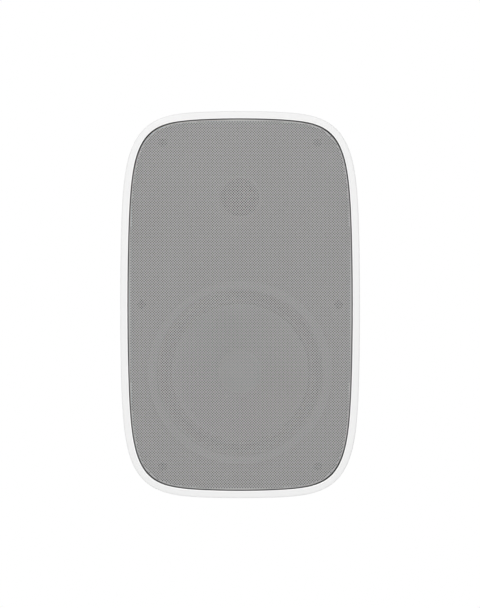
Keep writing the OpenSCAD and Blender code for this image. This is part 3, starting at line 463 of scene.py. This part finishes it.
def soft_pvc():
    # Soft PVC of the leads: red for the left lead of each pair, black for the right one
    material, tree, shader, place = surface("soft_pvc", "#1B1B1C", 0.34, 1.52)
    across = add(tree, "ShaderNodeSeparateXYZ", {"Vector": place})
    is_right = add(tree, "ShaderNodeMath", {0: across.outputs["X"], 1: 0.0}, operation="GREATER_THAN")
    tone = add(tree, "ShaderNodeMix", {
        "Factor": is_right.outputs[0], LOW: linear("#A11F23"), HIGH: linear("#1B1B1C"),
    }, data_type="RGBA")
    tree.links.new(tone.outputs[MIXED], shader.inputs["Base Color"])
    wavy = add(tree, "ShaderNodeTexNoise", {"Vector": place, "Scale": per_mm(0.8), "Detail": 2.0})
    bump = add(tree, "ShaderNodeBump", {"Height": wavy.outputs["Fac"], "Distance": 0.01 * MM})
    tree.links.new(bump.outputs["Normal"], shader.inputs["Normal"])
    return material


def polyester_fibre():
    # Loose white fibre: matt, with long tangled strands and a soft sheen
    material, tree, shader, place = surface("polyester_fibre", "#E9E6DC", 0.95, 1.5, Sheen_Weight=0.5)
    drawn = add(tree, "ShaderNodeMapping", {"Vector": place, "Scale": (1.0, 3.0, 1.6)})
    strands = add(tree, "ShaderNodeTexNoise", {
        "Vector": drawn.outputs["Vector"], "Scale": per_mm(2.2),
        "Detail": 8.0, "Roughness": 0.75, "Distortion": 1.2,
    })
    tint_and_emboss(tree, shader, strands.outputs["Fac"], "#CFCBBD", "#FAF8F1", 1.4)
    return material


def cell_foam():
    # Closed-cell EPDM foam of the gaskets: matt black, pitted by cut cells
    material, tree, shader, place = surface("closed_cell_foam", "#232324", 0.85, 1.5)
    cells = add(tree, "ShaderNodeTexVoronoi", {"Vector": place, "Scale": per_mm(0.7)})
    bump = add(tree, "ShaderNodeBump", {"Height": cells.outputs["Distance"], "Distance": 0.15 * MM})
    tree.links.new(bump.outputs["Normal"], shader.inputs["Normal"])
    return material


def dress(names, material):
    """Gives CAD nodes one material in place of their own."""
    for name in names.split():
        mesh = NODES[name].data
        mesh.materials.clear()
        mesh.materials.append(material)


white = white_abs()
grille_paint = powder_coated_grille()
fibre = polyester_fibre()
zinc = zinc_plate()

dress("cabinet", white)
dress("cabinet_gasket terminal_gasket", cell_foam())
dress("baffle tweeter_mount_ring", grey_abs())
dress("baffle_screws tweeter_screws terminal_screws", phosphated_steel())
dress("grille", grille_paint)
dress("woofer_basket woofer_screws", lacquered_steel("grey_lacquered_steel", "#58595B"))
# The trim ring is a lighter grey than the basket's same lacquer: painted highlight for the ring of light it
# catches behind the grille
dress("woofer_trim_ring", lacquered_steel("lacquered_steel_painted_highlight", "#6E7073"))
dress("woofer_surround", butyl_rubber())
dress("woofer_cone", polypropylene("mica_filled_cone", "#646668", "#727476"))
# The dust cap is a lighter grey than the cone's same polypropylene: painted highlight in place of the gloss
# it shows behind the grille
dress("woofer_dust_cap", polypropylene("mica_filled_dust_cap_painted_highlight", "#7A7C7E", "#8A8C8E"))
dress("voice_coil_former", former_paper())
dress("voice_coil_winding tweeter_coil woofer_inductor tweeter_inductor", enamelled_copper())
dress("woofer_spider", dipped_cotton())
dress("woofer_magnet tweeter_magnet", ferrite())
dress("woofer_terminals tweeter_terminals terminal_posts terminal_nuts threaded_inserts", turned_brass())
dress("tweeter_dome tweeter_surround", coated_silk())
dress("crossover_board", masked_fibreglass())
dress("capacitors", film_wrap())
dress("resistor", fired_cement())
dress("terminal_cup", black_abs())
dress("terminal_cap_red", polished_abs("red_polished_abs", "#B3262B"))
dress("terminal_cap_black", polished_abs("black_polished_abs", "#1B1B1C"))
dress("input_leads woofer_leads tweeter_leads", soft_pvc())
dress("wadding", fibre)
dress("wall_plate pan_knuckle speaker_plate", powder_coated_bracket())
dress("woofer_top_plate woofer_pole_plate tweeter_top_plate tweeter_pole_plate board_screws", zinc)
dress("pan_bolt pan_nut pan_washers tilt_bolt tilt_nut tilt_washers speaker_plate_screws", zinc)


# Cabinet

BACK_STEPS, OUTER_STEPS, INNER_STEPS, CAVITY_STEPS = 28, 6, 4, 18
# A narrow strip inside the rim's rounded edge, which keeps the flat of the rim evenly shaded
STRIP_W = 0.15
CUP_HOLE_W, CUP_HOLE_H, CUP_HOLE_R = 57, 39, 7.5
INSERT_HOLE_R = 4.05
CUT_PAST = 5


def in_bead(x, y):
    """Whether a point of the rim lies on the bead round the grille's opening."""
    loop = face_outline(-BEAD_W)
    a, b = loop, np.roll(loop, -1, axis=0)
    crosses = (a[:, 1] > y) != (b[:, 1] > y)
    at = a[:, 0] + (y - a[:, 1]) * (b[:, 0] - a[:, 0]) / np.where(crosses, b[:, 1] - a[:, 1], 1)
    return int((crosses & (x < at)).sum()) % 2 == 1


def cabinet():
    """Moulded shell: back, curved sides, rounded rim with its bead, pocket, ledge and cavity."""
    rings = []
    round_z = FRONT_Z - OUTER_ROUND
    depth = CAB_D - OUTER_ROUND

    def curve(t, inset):
        keep = math.cos(t) ** (2 / BACK_POWER[1])
        half = BACK_HALF + (CAB_HALF - BACK_HALF) * keep - inset
        return round_z - (depth - inset) * math.sin(t) ** (2 / BACK_POWER[0]), cab_outline(half)

    for i in range(BACK_STEPS + 1):
        rings.append(curve(math.pi / 2 * (1 - i / BACK_STEPS), 0.0))
    for i in range(1, OUTER_STEPS + 1):
        t = math.pi / 2 * i / OUTER_STEPS
        z = round_z + (OUTER_ROUND - BEAD_H) * math.sin(t)
        rings.append((z, cab_outline(CAB_HALF - OUTER_ROUND * (1 - math.cos(t)))))
    rings.append((FRONT_Z - BEAD_H, cab_outline(CAB_HALF - OUTER_ROUND - STRIP_W)))
    rings.append((FRONT_Z - BEAD_H, face_outline(-BEAD_W - BEAD_H)))
    rings.append((FRONT_Z, face_outline(-BEAD_W)))
    for i in range(INNER_STEPS + 1):
        t = math.pi / 2 * i / INNER_STEPS
        z = FRONT_Z - INNER_ROUND * (1 - math.cos(t))
        rings.append((z, face_outline(-INNER_ROUND * (1 - math.sin(t)))))
    rings.append((LEDGE_Z, face_outline(0.0)))
    rings.append((LEDGE_Z, face_outline(LEDGE_W)))
    slope_z = LEDGE_Z - LEDGE_T
    rings.append((slope_z, face_outline(LEDGE_W)))
    cavity_z = slope_z - LEDGE_W
    share = (round_z - cavity_z) / (depth - WALL)
    first = math.asin(share ** (BACK_POWER[0] / 2))
    for i in range(CAVITY_STEPS + 1):
        rings.append(curve(first + (math.pi / 2 - first) * i / CAVITY_STEPS, WALL))
    count = len(rings[0][1])
    points = np.concatenate([in_frame(o[:, 0], o[:, 1], np.full(count, z)) for z, o in rings])
    faces = ring_faces(count, len(rings))
    last = (len(rings) - 1) * count
    faces += [tuple(range(count))[::-1], tuple(range(last, last + count))]
    shell = new_piece("cabinet_shell", points, faces)
    low, high = BACK_Z - CUT_PAST, BACK_Z + WALL + CUT_PAST
    holes = [solid_slab(0, CUP_Y, CUP_HOLE_W, CUP_HOLE_H, CUP_HOLE_R, low, high)]
    holes += [solid_post(x, y, INSERT_HOLE_R, low, high) for x, y in INSERTS]
    cut(shell, holes)
    smooth(shell, CRISP)
    shell.data.materials.append(white)
    shell.data.materials.append(bead_painted_highlight())
    # Faces on the bead get the second, brighter material: a painted highlight line round the grille's opening
    bead = np.zeros(len(shell.data.polygons), np.int32)
    for polygon in shell.data.polygons:
        x, back, y = (c / MM for c in polygon.center)
        if -back > FRONT_Z - INNER_ROUND and in_bead(x, y):
            bead[polygon.index] = 1
    shell.data.polygons.foreach_set("material_index", bead)
    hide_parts("cabinet")
    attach(shell, "speaker")


def boss(cx, cy, inner, outer, low, high, blind, sides=32):
    """Moulded boss, closed at z = low and open at z = high, whose screw hole ends at z = blind."""
    turn = np.arange(sides) * 2 * math.pi / sides
    stations = [(outer, low), (outer, high), (inner, high), (inner, blind)]
    points = np.concatenate([
        in_frame(cx + r * np.cos(turn), cy + r * np.sin(turn), np.full(sides, z)) for r, z in stations
    ])
    faces = ring_faces(sides, 4) + [tuple(range(sides))[::-1], tuple(range(3 * sides, 4 * sides))]
    return points, faces


def cabinet_bosses():
    """Bosses for the screws of baffle, bracket, terminals and board."""
    inner_back = BACK_Z + WALL
    # Places, radius of the hole, radius of the boss, its closed end, its open end, end of the hole
    kinds = [
        (BAFFLE_SCREWS, 2.05, 5.0, LEDGE_Z - 24, LEDGE_Z, LEDGE_Z - 22),
        (INSERTS, INSERT_HOLE_R, 7.2, inner_back + 13, BACK_Z + 1, BACK_Z + 11),
        (CUP_SCREWS, 1.55, 4.0, BACK_Z + 13, inner_back - 1, BACK_Z + 12),
        (BOARD_SCREWS, 1.55, 3.5, inner_back - 1, inner_back + 8, inner_back + 1),
    ]
    parts = [boss(x, y, *measures) for places, *measures in kinds for x, y in places]
    piece = new_piece("cabinet_bosses", *joined(parts), CRISP)
    piece.data.materials.append(white)
    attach(piece, "speaker")


cabinet()
cabinet_bosses()


# Grille: one perforated sheet, folded back at its edge

ROW_X, ROW_Y = 1.057, 1.080
HOLE_R = 0.55
HOLE_SIDES = 6
PLAIN_EDGE = 0.65
# The flat part's outline lies this far inside the opening, and the fold runs on from there
FLAT_INSET = GRILLE_GAP + FOLD_R
QUARTER_TURN = math.pi / 2 * FOLD_R
PERFORATED = QUARTER_TURN - PLAIN_EDGE
EDGE_STEPS = 240
# Only points past this share of the outline's half sizes can lie on the fold
FOLD_FROM = 0.72
# Rings of points across the plain edge, as shares of its width
RING_SHARES = (0.15, 0.43, 0.71, 1.0)
# Rows of unused lattice points kept inside the outline
FREE_ROWS = 2.5
# Points looked at in one go, and how close two of them count as one
AT_ONCE = 4000
TINY = 1e-6
QUARTERS = {
    "grille_lower_left": (False, False),
    "grille_lower_right": (True, False),
    "grille_upper_left": (False, True),
    "grille_upper_right": (True, True),
}


def nearest_on_outline(points, loop):
    """For each point, the nearest point on the closed outline, the distance and whether it lies outside."""
    ends = np.roll(loop, -1, axis=0)
    along = ends - loop
    length2 = (along ** 2).sum(1)
    best = np.empty_like(points)
    distance = np.empty(len(points))
    outside = np.empty(len(points), bool)
    for start in range(0, len(points), AT_ONCE):
        some = slice(start, start + AT_ONCE)
        p = points[some, None, :]
        t = np.clip(((p - loop) * along).sum(2) / length2, 0, 1)
        foot = loop + t[..., None] * along
        d2 = ((p - foot) ** 2).sum(2)
        k = d2.argmin(1)
        rows = np.arange(len(k))
        found = foot[rows, k]
        best[some] = found
        distance[some] = np.sqrt(d2[rows, k])
        step = points[some] - found
        normal = np.stack([along[k, 1], -along[k, 0]], axis=-1)
        outside[some] = (step * normal).sum(1) > 0
    return best, distance, outside


def outward(loop):
    """Outward normals of a closed anticlockwise outline."""
    step = np.roll(loop, -1, axis=0) - np.roll(loop, 1, axis=0)
    normal = np.stack([step[:, 1], -step[:, 0]], axis=-1)
    return normal / np.linalg.norm(normal, axis=1, keepdims=True)


def fold(flat, loop, depth):
    """Bends the flat sheet round its edge; depth is how far below the outer face the point lies."""
    x, y = flat[:, 0].copy(), flat[:, 1].copy()
    z = np.full(len(flat), GRILLE_Z - depth)
    reach = np.abs(flat) > np.abs(loop).max(0) * FOLD_FROM
    near = np.flatnonzero(reach.any(1))
    foot, distance, outside = nearest_on_outline(flat[near], loop)
    near, foot, distance = near[outside], foot[outside], distance[outside]
    normal = (flat[near] - foot) / np.maximum(distance, 1e-9)[:, None]
    angle = np.minimum(distance / FOLD_R, math.pi / 2)
    down = np.maximum(distance - QUARTER_TURN, 0)
    side = (FOLD_R - depth) * np.sin(angle)
    x[near] = foot[:, 0] + normal[:, 0] * side
    y[near] = foot[:, 1] + normal[:, 1] * side
    z[near] = GRILLE_Z - FOLD_R + (FOLD_R - depth) * np.cos(angle) - down
    return in_frame(x, y, z)


def hole_lattice(loop):
    """The lattice's points, how far each lies outside the outline, and which ones become holes."""
    rows = int(FACE_HALF[1] / ROW_Y) + 2
    columns = int(FACE_HALF[0] / ROW_X) + 2
    j, i = np.mgrid[-rows:rows + 1, -columns:columns + 1]
    lattice = np.stack([i * ROW_X, j * ROW_Y], axis=-1)
    _, distance, outside = nearest_on_outline(lattice.reshape(-1, 2), loop)
    past = np.where(outside, distance, -distance).reshape(i.shape)
    fits = past < PERFORATED
    holes = ((i + j) % 2 == 0) & (past < PERFORATED - HOLE_R)
    holes[1:-1, 1:-1] &= fits[:-2, 1:-1] & fits[2:, 1:-1] & fits[1:-1, :-2] & fits[1:-1, 2:]
    holes[[0, -1], :] = False
    holes[:, [0, -1]] = False
    return lattice, past, holes


def hole_cells(lattice, holes):
    """The sheet's front between and round the holes: a cell of four lattice points round each."""
    hj, hi = np.nonzero(holes)
    width = holes.shape[1]
    at = hj * width + hi
    corners = np.stack([at + 1, at + width, at - 1, at - width], axis=1)
    used = np.unique(corners)
    number = np.full(holes.size, -1)
    number[used] = np.arange(len(used))
    corners = number[corners]
    turn = (np.arange(HOLE_SIDES) + 0.5) * 2 * math.pi / HOLE_SIDES
    centre = lattice[hj, hi]
    ring = centre[:, None, :] + HOLE_R * np.stack([np.cos(turn), np.sin(turn)], axis=-1)
    ring_id = len(used) + np.arange(len(centre) * HOLE_SIDES).reshape(-1, HOLE_SIDES)
    points = np.concatenate([lattice.reshape(-1, 2)[used], ring.reshape(-1, 2)])
    # Each of the hole's points is joined to the cell corner nearest to it
    corner_turn = np.arange(4) * math.pi / 2
    owner = [int(np.argmin([abs(math.remainder(t - c, 2 * math.pi)) for c in corner_turn])) for t in turn]
    faces = []
    for k in range(HOLE_SIDES):
        n = (k + 1) % HOLE_SIDES
        a, b = owner[k], owner[n]
        faces.append(np.stack([corners[:, a], ring_id[:, n], ring_id[:, k]], axis=1))
        while a != b:
            step = (a + 1) % 4
            faces.append(np.stack([corners[:, a], corners[:, step], ring_id[:, n]], axis=1))
            a = step
    return points, np.concatenate(faces), corners, ring_id, used


def in_cell(points, holes):
    """Whether each point lies in the cell of a hole."""
    i, j = points[:, 0] / ROW_X, points[:, 1] / ROW_Y
    p = np.floor((i + j) / 2 + 0.5)
    q = np.floor((j - i) / 2 + 0.5)
    row = (p + q).astype(int) + holes.shape[0] // 2
    column = (p - q).astype(int) + holes.shape[1] // 2
    return holes[np.clip(row, 0, holes.shape[0] - 1), np.clip(column, 0, holes.shape[1] - 1)]


def plain_border(inner, corners, holes, free, rings):
    """The sheet's front between the outermost cells and its cut edge, through the added points."""
    edges = np.concatenate([corners[:, [k, (k + 1) % 4]] for k in range(4)])
    _, first, times = np.unique(np.sort(edges, axis=1), axis=0, return_index=True, return_counts=True)
    rim_ids, rim_edges = np.unique(edges[first[times == 1]], return_inverse=True)
    n_rim, n_loop = len(rim_ids), len(rings[0])
    fixed = [tuple(map(int, edge)) for edge in rim_edges.reshape(-1, 2)]
    for k in reversed(range(len(rings))):
        start = n_rim + len(free) + k * n_loop
        fixed += [(start + a, start + (a + 1) % n_loop) for a in range(n_loop)]
    flat = [Vector(p) for p in np.concatenate([inner[rim_ids], free] + rings).tolist()]
    found, _, triangles, origin, _, _ = delaunay_2d_cdt(flat, fixed, [], 0, TINY)
    found = np.array([tuple(v) for v in found])
    triangles = np.array(triangles)
    middle = found[triangles].mean(1)
    _, _, past = nearest_on_outline(middle, rings[-1])
    triangles = triangles[~past & ~in_cell(middle, holes)]
    origin = [o[0] for o in origin]
    ids = np.array([rim_ids[o] if o < n_rim else len(inner) + o - n_rim for o in origin])
    faces = ids[triangles]
    a, b, c = (found[triangles[:, k]] for k in range(3))
    turned = (b[:, 0] - a[:, 0]) * (c[:, 1] - a[:, 1]) - (b[:, 1] - a[:, 1]) * (c[:, 0] - a[:, 0]) < 0
    faces[turned] = faces[turned][:, ::-1]
    return faces


def hole_walls(ring_id, count):
    """Walls of the holes, between a front and a back of count points each."""
    walls = []
    for k in range(HOLE_SIDES):
        a, b = ring_id[:, k], ring_id[:, (k + 1) % HOLE_SIDES]
        walls.append(np.stack([a, b, b + count], axis=1))
        walls.append(np.stack([a, b + count, a + count], axis=1))
    return np.concatenate(walls)


def skirt_faces(n_loop, count):
    """Both faces of the straight skirt and its cut edge, whose points follow the front and back."""
    around = np.arange(n_loop)
    after = np.roll(around, -1)
    base = 2 * count
    edge, edge_after = count - n_loop + around, count - n_loop + after
    outer_low, inner_low = base + around, base + n_loop + around
    outer_next, inner_next = base + after, base + n_loop + after
    quads = [
        (edge, outer_low, outer_next, edge_after),
        (outer_low, inner_low, inner_next, outer_next),
        (edge_after + count, inner_next, inner_low, edge + count),
    ]
    halves = [half for q in quads for half in ((q[0], q[1], q[2]), (q[0], q[2], q[3]))]
    return np.concatenate([np.stack(half, axis=1) for half in halves])


def grille():
    """Pieces of the perforated sheet, split into quarters."""
    loop = face_outline(FLAT_INSET, EDGE_STEPS)
    lattice, past, holes = hole_lattice(loop)
    inner, cells, corners, ring_id, used = hole_cells(lattice, holes)
    # Points that round the fold: the lattice's unused points, and rings that follow the edge
    is_free = (past < PERFORATED) & (past > -FREE_ROWS * ROW_X) & ~holes
    is_free.flat[used] = False
    free = lattice[is_free]
    reaches = [PERFORATED + (QUARTER_TURN - PERFORATED) * share for share in RING_SHARES]
    rings = [loop + outward(loop) * reach for reach in reaches]
    front = np.concatenate([cells, plain_border(inner, corners, holes, free, rings)])
    sheet = np.concatenate([inner, free] + rings)
    skirt = loop + outward(loop) * (QUARTER_TURN + GRILLE_Z - FOLD_R - SKIRT_Z)
    points = np.concatenate([fold(flat, loop, depth) for flat in (sheet, skirt) for depth in (0.0, GRILLE_T)])
    count = len(sheet)
    faces = np.concatenate([
        front, front[:, ::-1] + count, hole_walls(ring_id, count), skirt_faces(len(loop), count)
    ])
    centre = points[faces].mean(1)
    for name, (right, upper) in QUARTERS.items():
        chosen = ((centre[:, 0] > 0) == right) & ((centre[:, 2] > 0) == upper)
        ids, own_faces = np.unique(faces[chosen], return_inverse=True)
        piece = fast_mesh(name, points[ids], own_faces.reshape(-1, 3))
        smooth(piece, GRILLE_CRISP)
        piece.data.materials.append(grille_paint)
        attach(piece, "grille_panel")
    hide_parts("grille")


grille()


# Wadding

VOXEL_MM = 2.6
SOFTENED = 6
LUMP_MM, LUMP_DEPTH_MM = 22, 7


def wadding():
    """The block of loose fibre with a soft, uneven skin that stays inside the plain solid."""
    source = NODES["wadding"]
    piece = bpy.data.objects.new("wadding_block", source.data.copy())
    bpy.context.scene.collection.objects.link(piece)
    voxels = piece.modifiers.new("voxels", "REMESH")
    voxels.mode = "VOXEL"
    voxels.voxel_size = VOXEL_MM * MM
    softened = piece.modifiers.new("softened", "SMOOTH")
    softened.iterations = SOFTENED
    lumps = bpy.data.textures.new("lumps", "CLOUDS")
    lumps.noise_scale = LUMP_MM * MM
    lumpy = piece.modifiers.new("lumpy", "DISPLACE")
    lumpy.texture = lumps
    lumpy.texture_coords = "LOCAL"
    lumpy.strength = LUMP_DEPTH_MM * MM
    # The fibre only sinks in, and never swells past the plain solid
    lumpy.mid_level = 1.0
    applied(piece)
    smooth(piece, ALL_SMOOTH)
    piece.data.materials.clear()
    piece.data.materials.append(fibre)
    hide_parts("wadding")
    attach(piece, "speaker")


wadding()


# Edges

PRESSED_EDGE, MOULDED_EDGE = 0.6, 0.5


def break_edges(names, width_mm):
    """Takes the sharpness off a piece's edges, as pressing, moulding or coating does."""
    weld_below, flat_below, edge_above, rows = 0.002, 0.5, 40, 3
    for name in names.split():
        piece = NODES[name]
        weld = piece.modifiers.new("weld", "WELD")
        weld.merge_threshold = weld_below * MM
        flats = piece.modifiers.new("flats", "DECIMATE")
        flats.decimate_type = "DISSOLVE"
        flats.angle_limit = math.radians(flat_below)
        bevel = piece.modifiers.new("bevel", "BEVEL")
        bevel.width = width_mm * MM
        bevel.segments = rows
        bevel.limit_method = "ANGLE"
        bevel.angle_limit = math.radians(edge_above)
        bevel.use_clamp_overlap = False
        bevel.harden_normals = True


break_edges("wall_plate speaker_plate pan_knuckle", PRESSED_EDGE)
break_edges("terminal_cup", MOULDED_EDGE)


# Light, floor and camera

# Metres and watts
AMBIENT = 0.5
KEY_PLACE, KEY_AIM, KEY_SIZE, KEY_WATTS = (-0.4, -5.2, 1.8), (0, -0.2, 0), (1.4, 1.1), 108
SIDE_AWAY, SIDE_BACK, SIDE_HIGH = 2.6, 1.6, 2.2
SIDE_SIZE, SIDE_WATTS = (1.4, 1.4), 23
# The floor ends below the front view, which is pure white as in the photograph
FLOOR_Z, FLOOR_HALF, FLOOR_LIFT = -1.2, 7.0, 0.4
# Millimetres
CAMERA_AWAY = 2700.0
VIEW_HIGH = 488.5
CAMERA_SHIFT = (-0.1, 0.0, 0.5)
SENSOR_W = 36.0
VIEW_END = 50


def world():
    """Even soft light, and pure white where the camera looks past the object."""
    scene_world = bpy.data.worlds.new("soft_white")
    bpy.context.scene.world = scene_world
    scene_world.use_nodes = True
    tree = scene_world.node_tree
    back = tree.nodes["Background"]
    path = add(tree, "ShaderNodeLightPath")
    seen = path.outputs["Is Camera Ray"]
    for other in ("Is Glossy Ray", "Is Transmission Ray"):
        seen = add(tree, "ShaderNodeMath", {0: seen, 1: path.outputs[other]}, operation="MAXIMUM").outputs[0]
    back.inputs["Color"].default_value = (1, 1, 1, 1)
    strength = add(tree, "ShaderNodeMapRange", {"Value": seen, "To Min": AMBIENT, "To Max": 1.0})
    tree.links.new(strength.outputs["Result"], back.inputs["Strength"])


def softbox(name, place, aim, size, watts):
    light = bpy.data.lights.new(name, "AREA")
    light.shape = "RECTANGLE"
    light.size, light.size_y = size
    light.energy = watts
    lamp = bpy.data.objects.new(name, light)
    lamp.location = place
    lamp.rotation_euler = (Vector(aim) - Vector(place)).to_track_quat("-Z", "Y").to_euler()
    bpy.context.scene.collection.objects.link(lamp)


def pale_paper():
    # Seamless paper sweep: matt, and lifted towards white only where the camera sees it
    material, tree, shader, _ = surface("pale_paper", "#F4F4F3", 0.8)
    path = add(tree, "ShaderNodeLightPath")
    lift = add(tree, "ShaderNodeMath", {0: path.outputs["Is Camera Ray"], 1: FLOOR_LIFT},
               operation="MULTIPLY")
    shader.inputs["Emission Color"].default_value = (1, 1, 1, 1)
    tree.links.new(lift.outputs[0], shader.inputs["Emission Strength"])
    return material


def floor():
    corners = [(x * FLOOR_HALF, y * FLOOR_HALF, FLOOR_Z) for x, y in ((-1, -1), (1, -1), (1, 1), (-1, 1))]
    piece = new_piece("floor", corners, [(0, 1, 2, 3)])
    piece.data.materials.append(pale_paper())


def camera():
    """Square on, far enough back for the photograph's nearly parallel view."""
    data = bpy.data.cameras.new("camera")
    data.sensor_width = SENSOR_W
    data.lens = data.sensor_width * CAMERA_AWAY / VIEW_HIGH
    data.clip_end = VIEW_END
    view = bpy.data.objects.new("camera", data)
    view.location = Vector(CAMERA_SHIFT) * MM + Vector((0, -(FRONT_Z + CAMERA_AWAY) * MM, 0))
    view.rotation_euler = (math.pi / 2, 0, 0)
    bpy.context.scene.collection.objects.link(view)
    bpy.context.scene.camera = view


world()
softbox("key_softbox", KEY_PLACE, KEY_AIM, KEY_SIZE, KEY_WATTS)
softbox("left_softbox", (-SIDE_AWAY, SIDE_BACK, SIDE_HIGH), (0, 0, 0), SIDE_SIZE, SIDE_WATTS)
softbox("right_softbox", (SIDE_AWAY, SIDE_BACK, SIDE_HIGH), (0, 0, 0), SIDE_SIZE, SIDE_WATTS)
floor()
camera()
bpy.context.scene.view_settings.view_transform = "Standard"
